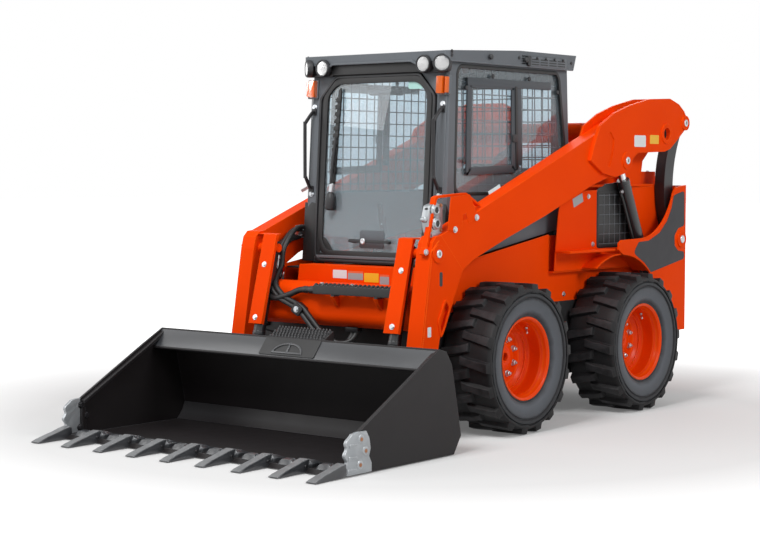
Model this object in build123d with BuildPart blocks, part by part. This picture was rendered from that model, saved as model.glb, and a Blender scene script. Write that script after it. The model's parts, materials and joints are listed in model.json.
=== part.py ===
"""Skid steer loader with a closed cab, a vertical-lift boom and a toothed bucket.

Millimetres. The front of the machine points towards -Y, the operator's left is +X, +Z is up.
The origin is on the floor, below the middle of the machine's overall box.
Side outlines are lists of (y, z) points, front outlines are lists of (x, z) points.
"""
from build123d import *
import math
import os

# ---- Overall sizes ----
WHEELBASE = 1225
FRONT_AXLE_Y = -65
REAR_AXLE_Y = FRONT_AXLE_Y + WHEELBASE
TYRE_R = 408
TRACK_HALF = 716            # middle of a tyre from the machine's centre line

# ---- Wheels ----
CARCASS_SIDES = 20          # flat facets round a tyre
RIM_SIDES = 20              # and round a rim
TREAD_BASE_R = 386
BEAD_R = 214
FLANGE_R = 227
TYRE_HALF_W = 160
LUGS_PER_ROW = 18
LUG_ROOT_R = 366
LUG_HOOK_Y = 56             # how far a lug's inner end reaches round the tyre
LUG_OUTLINE = [(150, -25), (-22, 14), (-22, LUG_HOOK_Y), (30, 42), (150, 24)]
BOLT_CIRCLE_R = 101.6
WHEEL_NUTS = 8
DISC_X = -26                # outer face of the wheel disc from the tyre's middle plane
HUB_R = 74

# ---- Chassis ----
CASE_IN_X, CASE_OUT_X = 380, 545
CASE_Z0, CASE_Z1 = 230, 661
CHASSIS_Y0, CHASSIS_Y1 = -480, 1700
SHEET = 8
BAY_X = 530                 # outer face of the engine bay's side walls
BAY_Y0, BAY_Y1 = 925, 1895
BAY_Z1 = 1328
SKIN_X0, SKIN_X1 = 580, 586  # upper side skin, also the inner plate of the rear tower
TOWER_X0, TOWER_X1 = 688, 700
TOWER_REAR_Y = 1925
ARCH_R = 510
LEDGE_Z = 945

# ---- Cab ----
CAB_Z0, CAB_Z1 = 905, 2010
CAB_WALL = 45
POST_EDGE = 14
CAB_PLAN = [                 # height, half width, front y, rear y
    (CAB_Z0, 502, -356, 915),
    (CAB_Z1, 482, -286, 892),
]
LOUVRE_SLOTS = 4
HANDLE_X = 456
ROOF_HALF_W = 510
ROOF_TOP_Z = 2096

# ---- Boom ----
ARM_X0, ARM_X1 = 575, 670
HUMP_IN_X0, HUMP_OUT_X1 = 563, 690
TOWER_PIN = (1865, 992)      # rear link on the chassis
BOOM_PIN = (1920, 1719)      # rear link on the boom
LIFT_EYE = (1220, 1481)      # lift cylinder on the boom
LIFT_BASE = (1635, 650)      # lift cylinder on the chassis
LINK_PIN = (1506, 1274)      # control link on the boom
LINK_FOOT = (835, 950)       # control link on the chassis
BUCKET_PIN = (-705, 250)
TILT_BASE = (-628, 989)      # tilt cylinder on the boom
TILT_EYE = (-789, 374)       # tilt cylinder on the coupler
LINK_X0, LINK_X1 = 536, 558
REAR_LINK_X0, REAR_LINK_X1 = 592, 660
LIFT_X = 629
TILT_X = 480
DRUM_Y0, DRUM_Y1, DRUM_Z0, DRUM_Z1 = -650, -502, 570, 810
CROSS_TUBE_C, CROSS_TUBE_R = (1185, 1650), 60

# ---- Engine covers ----
HOOD_HINGE = (935, 1408)     # (y, z)
DOOR_HINGE = (-530, 1952)    # (x, y)
HINGE_HEIGHTS = (640, 1080)  # undersides of the rear door's knuckles

# ---- Bucket ----
BUCKET_HALF_W = 985
BUCKET_WALL = 12
TOOTH_PITCH = 240
TOOTH_COUNT = 9

SIDES = (("left", 1), ("right", -1))


def yz_plate(outline, x0, x1):
    """A flat plate with a straight-edged side outline, between two x values."""
    with BuildPart() as plate:
        with BuildSketch(Plane.YZ.offset(x0)):
            with BuildLine():
                Polyline(*outline, close=True)
            make_face()
        extrude(amount=x1 - x0)
    return plate.part


def both_sides(part):
    """A left piece together with its mirror image, as two separate solids."""
    with BuildPart() as pair:
        add(part)
        mirror(about=Plane.YZ)
    return pair.part


def yz_disc(centre, radius, x0, x1):
    """A round boss, pin or disc along X."""
    with BuildPart() as disc:
        with BuildSketch(Plane.YZ.offset(x0)):
            with Locations(centre):
                Circle(radius)
        extrude(amount=x1 - x0)
    return disc.part


def block(x0, x1, y0, y1, z0, z1):
    """A box between two corners."""
    with BuildPart(Plane.XY.offset(z0)) as box:
        with Locations(((x0 + x1) / 2, (y0 + y1) / 2)):
            Box(abs(x1 - x0), abs(y1 - y0), z1 - z0, align=(Align.CENTER, Align.CENTER, Align.MIN))
    return box.part


def other_side(part):
    """The same piece on the other side of the machine."""
    return mirror(part, about=Plane.YZ)


def on_side(part, side):
    """A piece that was made on the left, taken to the side asked for."""
    return part if side > 0 else other_side(part)


nodes = {}


def finish(name, part):
    """Label a finished piece and keep it for export."""
    part.label = name
    nodes[name] = part


# ======== Wheels ========
LUG_STEP = 360 / LUGS_PER_ROW
LUG_CORNER_R = TYRE_R / math.cos(math.radians(LUG_STEP / 4))
LUG_TOP_R = math.sqrt(LUG_CORNER_R ** 2 - LUG_HOOK_Y ** 2)
# Turned so that the tyre stands on the hooks of two lugs, one of each row.
LUG_PHASE = math.degrees(math.atan2(LUG_HOOK_Y, LUG_TOP_R)) + LUG_STEP / 4


def faceted(sections, sides, across_flats):
    """A form with flat facets round the wheel's axis, through (x, radius) sections."""
    grow = 1 / math.cos(math.pi / sides) if across_flats else 1
    rings = [[(x, grow * radius * math.sin(2 * math.pi * i / sides), grow * radius * math.cos(2 * math.pi * i / sides))
              for i in range(sides)] for x, radius in sections]
    facets = [Face(Wire.make_polygon(ring)) for ring in (rings[0], rings[-1])]
    for near, far in zip(rings, rings[1:]):
        for i in range(sides):
            after = (i + 1) % sides
            facets.append(Face(Wire.make_polygon([near[i], near[after], far[after], far[i]])))
    return Solid(Shell(facets))


with BuildPart() as lug_blank:
    with BuildSketch(Plane.XY.offset(LUG_ROOT_R)):
        with BuildLine():
            Polyline(*LUG_OUTLINE, close=True)
        make_face()
    extrude(amount=LUG_TOP_R - LUG_ROOT_R)

with BuildPart() as tyre_master:
    add(faceted([(-TYRE_HALF_W, TREAD_BASE_R - 12), (-TYRE_HALF_W + 12, TREAD_BASE_R),
                 (TYRE_HALF_W - 12, TREAD_BASE_R), (TYRE_HALF_W, TREAD_BASE_R - 12)], CARCASS_SIDES, False))
    add(faceted([(-118, BEAD_R + 0.3), (118, BEAD_R + 0.3)], CARCASS_SIDES, True), mode=Mode.SUBTRACT)
    for side in (1, -1):
        add(on_side(faceted([(117, FLANGE_R + 2), (146, 275), (TYRE_HALF_W + 1, 364)], CARCASS_SIDES, True), side),
            mode=Mode.SUBTRACT)
    for row in (0, 1):
        lug = lug_blank.part if row == 0 else mirror(lug_blank.part, about=Plane.YZ, mode=Mode.PRIVATE)
        for i in range(LUGS_PER_ROW):
            add(lug.rotate(Axis.X, LUG_PHASE + (i + row / 2) * LUG_STEP))

with BuildPart() as rim_master:
    add(faceted([(-119, BEAD_R), (119, BEAD_R)], RIM_SIDES, False))
    for side in (1, -1):
        add(on_side(faceted([(119, FLANGE_R), (128, FLANGE_R)], RIM_SIDES, False), side))
    add(faceted([(DISC_X, 160), (DISC_X + 18, 182), (60, 203), (118, 205), (129, 220)],
                RIM_SIDES, True), mode=Mode.SUBTRACT)
    add(faceted([(-129, 220), (-118, 205), (DISC_X - 12, 190)], RIM_SIDES, True), mode=Mode.SUBTRACT)
    with BuildSketch(Plane.YZ.offset(DISC_X)):
        with PolarLocations(BOLT_CIRCLE_R, WHEEL_NUTS, start_angle=22.5):
            RegularPolygon(15, 6)
        RegularPolygon(HUB_R, 16)
    extrude(amount=18)

for side_name, side in SIDES:
    for end_name, axle_y in (("front", FRONT_AXLE_Y), ("rear", REAR_AXLE_Y)):
        place = Location((side * TRACK_HALF, axle_y, TYRE_R))
        for kind, master in (("tyre", tyre_master), ("rim", rim_master)):
            finish(f"{kind}_{end_name}_{side_name}", on_side(master.part, side).moved(place))

# ======== Chassis ========
with BuildPart() as chassis_frame:
    for side in (1, -1):
        add(on_side(block(CASE_IN_X, CASE_OUT_X, CHASSIS_Y0, CHASSIS_Y1, CASE_Z0, CASE_Z1), side))
        for axle_y in (FRONT_AXLE_Y, REAR_AXLE_Y):
            add(on_side(yz_disc((axle_y, TYRE_R), 62, CASE_OUT_X, CASE_OUT_X + 88), side))
    add(block(-CASE_IN_X, CASE_IN_X, CHASSIS_Y0, CHASSIS_Y1, CASE_Z0, CASE_Z0 + SHEET))
    add(block(-CASE_IN_X, CASE_IN_X, CHASSIS_Y0, CHASSIS_Y0 + 10, CASE_Z0 + SHEET, 690))
    add(block(-CASE_OUT_X, CASE_OUT_X, CHASSIS_Y1, CHASSIS_Y1 + 190, CASE_Z0 + 60, 420))
finish("chassis_frame", chassis_frame.part)

with BuildPart() as cab_tub:
    add(block(-372, 372, -470, 330, 560, 568))
    for side in (1, -1):
        add(on_side(block(372, 380, -470, 913, 560, 880), side))
        add(on_side(block(372, BAY_X - SHEET, -470, 913, 872, 880), side))
    add(block(-372, 372, 330, 338, 560, 800))
    add(block(-372, 372, 330, 913, 800, 808))
    add(block(-CASE_IN_X, CASE_IN_X, 905, 913, 560, 1095))
finish("cab_tub", cab_tub.part)

with BuildPart() as front_panel:
    with BuildSketch(Plane.XZ.offset(480)):
        with BuildLine():
            Polyline((-452, 600), (-409, 896), (409, 896), (452, 600), close=True)
        make_face()
    extrude(amount=10)
    add(block(-400, 400, -480, -380, 886, 896))
finish("front_panel", front_panel.part)

with BuildPart() as bay:
    for side in (1, -1):
        add(on_side(yz_plate([(625, CASE_Z1), (CHASSIS_Y1, CASE_Z1), (CHASSIS_Y1, 430), (BAY_Y1, 430),
                              (BAY_Y1, BAY_Z1), (BAY_Y0, BAY_Z1), (BAY_Y0, 1045), (625, 1045)],
                             BAY_X - SHEET, BAY_X), side))
        add(on_side(yz_disc(LINK_FOOT, 40, BAY_X, BAY_X + 2), side))
        add(on_side(yz_plate([(BAY_Y0, BAY_Z1 - 20), (BAY_Y0, 1420), (952, 1420), (990, BAY_Z1 - 20)],
                             BAY_X - SHEET, BAY_X), side))
        add(on_side(yz_disc(HOOD_HINGE, 7.05, BAY_X - SHEET - 1, BAY_X + 1), side), mode=Mode.SUBTRACT)
    add(block(-BAY_X + SHEET, BAY_X - SHEET, CHASSIS_Y1, BAY_Y1, 422, 430))
finish("engine_bay", bay.part)

with BuildPart() as engine:
    add(block(-300, 300, 980, 1640, 440, 1150))
finish("engine_block", engine.part)

SIDE_PANEL_LINE = [(-470, CASE_Z1), (-470, 892), (-220, 929), (600, 1052), (600, 840),
                   (CHASSIS_Y1, 840), (CHASSIS_Y1, CASE_Z1)]
SKIN_LINE = [(600, 840), (611, 949), (637, 1155), (655, 1235), (828, 1300), (1450, 1316),
             (1913, 1328), (1913, 900), (1790, 840)]
MESH_WINDOW = [(1068, 975), (1068, 1290), (1440, 1290), (1440, 975)]


def arch_point(radius, angle):
    """The (y, z) point at a radius and an angle above the rear axle."""
    return (REAR_AXLE_Y + radius * math.cos(math.radians(angle)),
            TYRE_R + radius * math.sin(math.radians(angle)))


def tower_outline():
    """Outer plate of the rear tower: swept top edge, round wheel arch below."""
    with BuildPart() as plate:
        with BuildSketch(Plane.YZ.offset(TOWER_X0)):
            with BuildLine():
                Polyline((1122, 950), (1125, 990), (1155, 1007), (1384, 1011))
                ThreePointArc((1384, 1011), (1635, 1103), (1770, 1289))
                Polyline((1770, 1289), (1800, 1316), (1916, 1330), (TOWER_REAR_Y, 1330),
                         (TOWER_REAR_Y, 421), arch_point(ARCH_R, 1.5))
                ThreePointArc(arch_point(ARCH_R, 1.5), arch_point(ARCH_R, 45), arch_point(ARCH_R, 88))
                Line(arch_point(ARCH_R, 88), (1122, 950))
            make_face()
        extrude(amount=TOWER_X1 - TOWER_X0)
    return plate.part


def arch_panel(x0, x1, from_angle, to_angle):
    """A curved sheet over the rear wheel, between two angles above the axle."""
    inner, outer = ARCH_R, ARCH_R + 7
    middle = (from_angle + to_angle) / 2
    with BuildPart() as panel:
        with BuildSketch(Plane.YZ.offset(x0)):
            with BuildLine():
                for radius, start, end in ((inner, from_angle, to_angle), (outer, to_angle, from_angle)):
                    ThreePointArc(arch_point(radius, start), arch_point(radius, middle),
                                  arch_point(radius, end))
                for angle in (from_angle, to_angle):
                    Line(arch_point(inner, angle), arch_point(outer, angle))
            make_face()
        extrude(amount=x1 - x0)
    return panel.part


with BuildPart() as side_panel:
    add(yz_plate(SIDE_PANEL_LINE, CASE_OUT_X - SHEET, CASE_OUT_X))
    add(yz_plate(SKIN_LINE, SKIN_X0, SKIN_X1))
    add(yz_plate(MESH_WINDOW, SKIN_X0, SKIN_X1), mode=Mode.SUBTRACT)
finish("side_panels", both_sides(side_panel.part))

with BuildPart() as tower:
    add(tower_outline())
    add(yz_disc(TOWER_PIN, 52, TOWER_X1, TOWER_X1 + 10))
finish("rear_towers", both_sides(tower.part))

with BuildPart() as webs:
    add(block(CASE_OUT_X, SKIN_X0, 600, CHASSIS_Y1, 832, 840))
    add(block(SKIN_X1, TOWER_X0, 611, 1100, LEDGE_Z, LEDGE_Z + 12))
    add(arch_panel(SKIN_X1, TOWER_X0, 52, 121))
    add(block(CASE_OUT_X, TOWER_X0, 1913, TOWER_REAR_Y, 421, 1328))
    add(yz_disc(TOWER_PIN, 24, SKIN_X1, TOWER_X0))
    add(yz_disc(LIFT_BASE, 24, CASE_OUT_X, TOWER_X0))
with BuildPart() as door_hinge_pins:
    for z in HINGE_HEIGHTS:
        add(block(-575, DOOR_HINGE[0] + 13, TOWER_REAR_Y, DOOR_HINGE[1] + 5, z - 18, z - 2))
        with BuildSketch(Plane.XY.offset(z - 2)):
            with Locations(DOOR_HINGE):
                Circle(5)
        extrude(amount=80)
finish("tower_webs", Compound([*both_sides(webs.part).solids(), *door_hinge_pins.part.solids()]))

with BuildPart() as screen:
    add(yz_plate(MESH_WINDOW, SKIN_X0, SKIN_X1))
    with BuildSketch(Plane.YZ.offset(SKIN_X0)):
        with Locations(((MESH_WINDOW[0][0] + MESH_WINDOW[2][0]) / 2, (MESH_WINDOW[0][1] + MESH_WINDOW[1][1]) / 2)):
            with GridLocations(73, 76, 5, 4):
                Rectangle(65, 68)
    extrude(amount=SKIN_X1 - SKIN_X0, mode=Mode.SUBTRACT)
finish("side_screens", both_sides(screen.part))


# ======== Cab ========
def cab_loft(inset):
    """The cab's tapered outer form, drawn in by an inset."""
    with BuildPart() as form:
        for z, half_w, front, rear in CAB_PLAN:
            with BuildSketch(Plane.XY.offset(z)) as section:
                with Locations((0, (front + rear) / 2)):
                    Rectangle(2 * (half_w - inset), rear - front - 2 * inset)
                chamfer(section.vertices(), POST_EDGE)
        loft()
    return form.part


SIDE_WINDOW = [(-252, 1290), (-212, 1960), (-180, 1992), (772, 1992), (800, 1955), (846, 1600), (846, 1290)]
SKIRT_CUT = [(-400, 800), (-400, 902), (-220, 929), (930, 1102), (930, 800)]
DOOR_LEAN = math.degrees(math.atan2(CAB_PLAN[1][2] - CAB_PLAN[0][2], CAB_Z1 - CAB_Z0))
DOOR_PLANE = Plane(origin=(0, CAB_PLAN[0][2], CAB_Z0), x_dir=(1, 0, 0),
                   z_dir=(0, -math.cos(math.radians(DOOR_LEAN)), math.sin(math.radians(DOOR_LEAN))))
DOOR_OUTLINE = [(-410, 902), (-411, 1828), (-298, 1952), (298, 1952), (411, 1828), (410, 902)]
GLASS_OUTLINE = [(-373, 955), (-368, 1857), (-290, 1922), (290, 1922), (368, 1857), (373, 955)]


def door_slab(outline, grow, depth_out, depth_in):
    """A flat piece in the plane of the cab's leaning front."""
    points = [(x + math.copysign(grow, x), z - CAB_Z0 + (grow if z > 1500 else -grow)) for x, z in outline]
    with BuildPart() as slab:
        with BuildSketch(DOOR_PLANE.offset(-depth_in)):
            with BuildLine():
                Polyline(*points, close=True)
            make_face()
        extrude(amount=depth_in + depth_out)
    return slab.part


with BuildPart() as cab_frame:
    add(cab_loft(0))
    add(cab_loft(CAB_WALL), mode=Mode.SUBTRACT)
    add(yz_plate(SIDE_WINDOW, -600, 600), mode=Mode.SUBTRACT)
    add(yz_plate(SKIRT_CUT, -600, 600), mode=Mode.SUBTRACT)
    add(door_slab(DOOR_OUTLINE, 3, 60, 120), mode=Mode.SUBTRACT)
    add(block(-390, 390, 800, 1000, 1420, 1930), mode=Mode.SUBTRACT)
finish("cab_frame", cab_frame.part)

with BuildPart() as door:
    add(door_slab(DOOR_OUTLINE, 0, 6, 30))
    add(door_slab(GLASS_OUTLINE, 0, 20, 60), mode=Mode.SUBTRACT)
finish("front_door", door.part)

with BuildPart() as glass:
    add(cab_loft(16))
    add(cab_loft(22), mode=Mode.SUBTRACT)
    add(yz_plate(SIDE_WINDOW, -600, 600), mode=Mode.INTERSECT)
    add(door_slab(GLASS_OUTLINE, 0, 0, 6))
    add(block(-390, 390, 870, 876, 1420, 1930))
finish("cab_glass", glass.part)

with BuildPart() as roof:
    add(yz_plate([(-336, CAB_Z1), (-336, 2064), (347, ROOF_TOP_Z), (935, ROOF_TOP_Z), (905, CAB_Z1)],
                 -ROOF_HALF_W, ROOF_HALF_W))
    chamfer(roof.edges().filter_by(Axis.Z), 16)
    for side in (1, -1):
        for i in range(LOUVRE_SLOTS):
            z = 2022 + i * 14
            add(on_side(block(ROOF_HALF_W - 12, ROOF_HALF_W + 1, 365, 790, z, z + 7), side), mode=Mode.SUBTRACT)
finish("cab_roof", roof.part)

with BuildPart() as seat:
    add(block(-245, 245, 340, 820, 808, 930))
    with BuildSketch(Plane.YZ.offset(-235)):
        with BuildLine():
            Polyline((720, 930), (810, 930), (830, 1480), (765, 1480), (705, 1000), close=True)
        make_face()
    extrude(amount=470)
finish("seat", seat.part)

with BuildPart() as consoles:
    for side in (1, -1):
        add(on_side(block(290, 372, 120, 700, 880, 1010), side))
        add(on_side(yz_plate([(150, 1010), (190, 1010), (175, 1150), (150, 1150)], 315, 345), side))
finish("consoles", consoles.part)

with BuildPart() as lamps:
    for x in (-462, -370, 370, 462):
        with BuildSketch(Plane.XZ.offset(336)):
            with Locations((x, 2010 - 16)):
                Circle(40)
        extrude(amount=26)
finish("front_lamps", lamps.part)

with BuildPart() as grab:
    for side in (1, -1):
        with BuildLine(Plane.YZ.offset(side * HANDLE_X)) as handle_line:
            Polyline((-311, 1755), (-388, 1679), (-388, 1393), (-340, 1316))
        with BuildSketch(Plane(handle_line.line @ 0, z_dir=handle_line.line % 0)):
            RegularPolygon(10, 8)
        sweep(transition=Transition.RIGHT)
        with BuildSketch(DOOR_PLANE):
            with Locations((side * HANDLE_X, 1755 - CAB_Z0), (side * HANDLE_X, 1314 - CAB_Z0)):
                Rectangle(30, 34)
        extrude(amount=14)
    add(block(-140, 150, -402, -386, 1020, 1040))
    for x0 in (-140, 132):
        add(block(x0, x0 + 18, -388, -350, 1020, 1040))
finish("grab_handles", grab.part)

# ======== Engine covers ========
with BuildPart() as hood:
    add(block(-500, 500, 930, 1885, 1334, 1415))
    add(block(-492, 492, 938, 1877, 1330, 1407), mode=Mode.SUBTRACT)
    with BuildSketch(Plane.XY.offset(1400)):
        with Locations((0, 1560)):
            with GridLocations(300, 44, 3, 9):
                Rectangle(260, 20)
    extrude(amount=20, mode=Mode.SUBTRACT)
    for side in (1, -1):
        add(on_side(yz_disc(HOOD_HINGE, 7, 499, BAY_X), side))
finish("hood", hood.part)

with BuildPart() as rear_door:
    add(block(-515, 515, 1900, 1955, 435, 1322))
    add(block(-500, 500, 1895, 1945, 450, 1307), mode=Mode.SUBTRACT)
    with BuildSketch(Plane.XZ.offset(-1940)):
        with Locations((0, 930)):
            with GridLocations(380, 46, 2, 11):
                Rectangle(330, 22)
    extrude(amount=-20, mode=Mode.SUBTRACT)
    for z in HINGE_HEIGHTS:
        add(block(DOOR_HINGE[0], -514, DOOR_HINGE[1] - 7, 1955, z, z + 70))
        with BuildSketch(Plane.XY.offset(z)):
            with Locations(DOOR_HINGE):
                Circle(9)
        extrude(amount=70)
        with BuildSketch(Plane.XY.offset(z)):
            with Locations(DOOR_HINGE):
                Circle(5.05)
        extrude(amount=70, mode=Mode.SUBTRACT)
finish("rear_door", rear_door.part)

# ======== Boom ========
STEP_HOLES = 6
BEND_TOP, BEND_BOTTOM = (-600, 1084), (-408, 896)   # where an arm turns down into its leg
ARM_LINE = [BEND_TOP, (954, 1653), (1106, 1709), (1057, 1385), (860, 1334), (373, 1167), (-12, 1049),
            (-312, 948), BEND_BOTTOM]
LEG_LINE = [(-777, 250), (-774, 495), (-690, 985), (-672, 1050), (-640, 1080), BEND_TOP, BEND_BOTTOM,
            (-474, 774), (-493, 752), (-498, 724), (-573, 593), (-611, 544), (-629, 472), (-633, 250)]
HUMP_TOP = [(920, 1682), (1078, 1759), (1261, 1812), (1492, 1856), (1731, 1866), (1844, 1834),
            (1912, 1791), (1959, 1731), (1960, 1703), (1893, 1657), (1826, 1611), (1738, 1555),
            (1672, 1538)]
HUMP_OUTER = HUMP_TOP + [(1350, 1528), (1298, 1497), (1247, 1433), (1206, 1406), (1093, 1382),
                         (953, 1407), (873, 1449), (819, 1480), (852, 1558)]
HUMP_INNER = HUMP_TOP + [(1600, 1480), (1556, 1274), (1540, 1238), (1506, 1224), (1472, 1238),
                         (1440, 1300), (1330, 1480), (1247, 1433), (1206, 1406), (1093, 1382),
                         (953, 1407), (873, 1449), (819, 1480), (852, 1558)]
HOLE_C, HOLE_R = (1687, 1648), 38
HUMP_RECESS = [(995, 1641), (1039, 1648), (1079, 1601), (1064, 1513), (1031, 1442), (986, 1453), (1041, 1542),
               (1029, 1612)]
TOP_PLATE = [(1117, 1716), (1276, 1776), (1280, 1764), (1121, 1704)]
EYE_WEB = [(1290, 1560), (1302, 1560), (1302, 1700), (1290, 1700)]

with BuildPart() as arm:
    add(yz_plate(ARM_LINE, ARM_X0, ARM_X1))
finish("boom_arms", both_sides(arm.part))

with BuildPart() as leg:
    add(yz_plate(LEG_LINE, ARM_X0, ARM_X1))
    add(yz_disc(BUCKET_PIN, 72, ARM_X0, ARM_X1))
    add(yz_disc(TILT_BASE, 48, ARM_X1, ARM_X1 + 8))
    add(yz_plate([(-560, 750), (-528, 700), (-580, 600), (-606, 555), (-622, 640)], ARM_X1 - 20, ARM_X1 + 1),
        mode=Mode.SUBTRACT)
    add(yz_plate([(-612, 823), (-612, 888), (-590, 888), (-590, 823)], ARM_X1 - 20, ARM_X1 + 1),
        mode=Mode.SUBTRACT)
finish("arm_legs", both_sides(leg.part))

with BuildPart() as outer_plate:
    add(yz_plate(HUMP_OUTER, ARM_X1, HUMP_OUT_X1))
    for centre, radius in ((HOLE_C, 62), (BOOM_PIN, 46), (LIFT_EYE, 52)):
        add(yz_disc(centre, radius, HUMP_OUT_X1, HUMP_OUT_X1 + 8))
    add(yz_disc(HOLE_C, HOLE_R, ARM_X1 - 1, HUMP_OUT_X1 + 9), mode=Mode.SUBTRACT)
    add(yz_plate(HUMP_RECESS, HUMP_OUT_X1 - 6, HUMP_OUT_X1 + 1), mode=Mode.SUBTRACT)
finish("boom_outer_plates", both_sides(outer_plate.part))

with BuildPart() as inner_plate:
    add(yz_plate(HUMP_INNER, HUMP_IN_X0, ARM_X0))
    add(yz_disc(HOLE_C, HOLE_R, HUMP_IN_X0 - 1, ARM_X0 + 1), mode=Mode.SUBTRACT)
finish("boom_inner_plates", both_sides(inner_plate.part))

with BuildPart() as boom_cross:
    with BuildSketch(Plane.YZ.offset(-ARM_X0)):
        with Locations(((DRUM_Y0 + DRUM_Y1) / 2, (DRUM_Z0 + DRUM_Z1) / 2)):
            RectangleRounded(DRUM_Y1 - DRUM_Y0, DRUM_Z1 - DRUM_Z0, 70)
    extrude(amount=2 * ARM_X0)
    add(yz_disc(CROSS_TUBE_C, CROSS_TUBE_R, -HUMP_IN_X0, HUMP_IN_X0))
    for side in (1, -1):
        for plate in (TOP_PLATE, EYE_WEB):
            add(on_side(yz_plate(plate, ARM_X0, ARM_X1), side))
        for centre, radius, x0, x1 in ((TILT_BASE, 24, TILT_X - 40, ARM_X0), (BUCKET_PIN, 24, 538, ARM_X0),
                                       (LINK_PIN, 20, LINK_X0 - 4, HUMP_IN_X0), (BOOM_PIN, 24, ARM_X0, ARM_X1)):
            add(on_side(yz_disc(centre, radius, x0, x1), side))
finish("boom_cross_members", boom_cross.part)

COVER_FACE = [(-656, 1066), (-620, 1070), (-620, 1066), (-652, 1062), (-782, 574), (-786, 575)]
COVER_TAB = [(-656, 1066), (-606, 1071), (-606, 1067), (-652, 1062)]
COVER_CHEEK = [(-652, 1062), (-630, 1064), (-648, 1030), (-680, 900), (-700, 820), (-763, 570), (-782, 574)]
COVER_X0, COVER_X1 = 432, 528
GUARD_HOOP = [(-710, 996), (-625, 1281), (-600, 1290), (-352, 1304), (-224, 1240), (-224, 1228),
              (-352, 1292), (-597, 1278), (-612, 1268), (-698, 990)]
GUARD_PLATE = [(-521, 1284), (-546, 1112), (-485, 1098), (-424, 1121), (-412, 1190), (-382, 1198),
               (-362, 1144), (-279, 1174), (-352, 1294)]

with BuildPart() as guards:
    for side in (1, -1):
        add(on_side(yz_plate(COVER_FACE, COVER_X0, COVER_X1), side))
        add(on_side(yz_plate(COVER_TAB, COVER_X1, ARM_X0), side))
        for x0 in (COVER_X0, COVER_X1 - 4):
            add(on_side(yz_plate(COVER_CHEEK, x0, x0 + 4), side))
    add(yz_plate(GUARD_HOOP, 620, 650))
    add(yz_plate(GUARD_PLATE, ARM_X1, ARM_X1 + 4))
finish("boom_guards", guards.part)

with BuildPart() as step:
    add(block(0, 20, -700, DRUM_Y0, 740, 776))
    add(block(300, 320, -700, DRUM_Y0, 740, 776))
    add(block(-112, 420, -712, -642, 776, 800))
    for i in range(STEP_HOLES):
        x = -80 + i * 84
        add(block(x, x + 52, -694, -664, 770, 810), mode=Mode.SUBTRACT)
finish("boom_step", step.part)

# ======== Rear and control links ========
with BuildPart() as rear_link:
    with BuildSketch(Plane.YZ.offset(REAR_LINK_X0)):
        with BuildLine():
            ThreePointArc((1872, 1719), (1724, 1290), (1823, 992))
            Line((1823, 992), (1907, 992))
            ThreePointArc((1907, 992), (1826, 1290), (1968, 1719))
            Line((1968, 1719), (1872, 1719))
        make_face()
        for pin, radius in ((TOWER_PIN, 42), (BOOM_PIN, 48)):
            with Locations(pin):
                Circle(radius)
        with Locations(TOWER_PIN, BOOM_PIN):
            Circle(24.05, mode=Mode.SUBTRACT)
    extrude(amount=REAR_LINK_X1 - REAR_LINK_X0)
finish("rear_links", both_sides(rear_link.part))

with BuildPart() as control_link:
    with BuildSketch(Plane.YZ.offset(LINK_X0)):
        with BuildLine():
            run = math.atan2(LINK_PIN[1] - LINK_FOOT[1], LINK_PIN[0] - LINK_FOOT[0])
            dy, dz = -34 * math.sin(run), 34 * math.cos(run)
            Polyline((LINK_FOOT[0] + dy, LINK_FOOT[1] + dz), (LINK_PIN[0] + dy, LINK_PIN[1] + dz),
                     (LINK_PIN[0] - dy, LINK_PIN[1] - dz), (LINK_FOOT[0] - dy, LINK_FOOT[1] - dz), close=True)
        make_face()
        for pin in (LINK_FOOT, LINK_PIN):
            with Locations(pin):
                Circle(44)
        with Locations(LINK_PIN):
            Circle(20.05, mode=Mode.SUBTRACT)
    extrude(amount=LINK_X1 - LINK_X0)
finish("control_links", both_sides(control_link.part))


# ======== Cylinders ========
def barrel(base, eye, x, radius, rod_r, length, eye_r, eye_half):
    """A cylinder's barrel, bored for the rod and closed at its base eye."""
    direction = (0, eye[0] - base[0], eye[1] - base[1])
    axis_plane = Plane(origin=(x, base[0], base[1]), x_dir=(1, 0, 0), z_dir=direction)
    with BuildPart() as tube:
        with BuildSketch(axis_plane.offset(eye_r - 6)):
            Circle(radius)
        extrude(amount=length - eye_r + 6)
        with BuildSketch(axis_plane.offset(eye_r + 8)):
            Circle(rod_r + 0.4)
        extrude(amount=length - eye_r, mode=Mode.SUBTRACT)
        with BuildSketch(Plane.YZ.offset(x - eye_half)):
            with Locations(base):
                Circle(eye_r)
        extrude(amount=2 * eye_half)
        with BuildSketch(Plane.YZ.offset(x - eye_half - 20)):
            with Locations(base):
                Circle(24.05)
        extrude(amount=2 * eye_half + 40, mode=Mode.SUBTRACT)
    return tube.part


def rod(base, eye, x, rod_r, start, eye_r, eye_half):
    """A cylinder rod with its piston and its eye."""
    direction = (0, eye[0] - base[0], eye[1] - base[1])
    axis_plane = Plane(origin=(x, base[0], base[1]), x_dir=(1, 0, 0), z_dir=direction)
    span = math.dist(base, eye)
    with BuildPart() as bar:
        with BuildSketch(axis_plane.offset(start)):
            Circle(rod_r)
        extrude(amount=span - start - eye_r + 6)
        with BuildSketch(Plane.YZ.offset(x - eye_half)):
            with Locations(eye):
                Circle(eye_r)
        extrude(amount=2 * eye_half)
        with BuildSketch(Plane.YZ.offset(x - eye_half)):
            with Locations(eye):
                Circle(eye_r - 16)
        extrude(amount=2 * eye_half, mode=Mode.SUBTRACT)
    return bar.part


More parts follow.
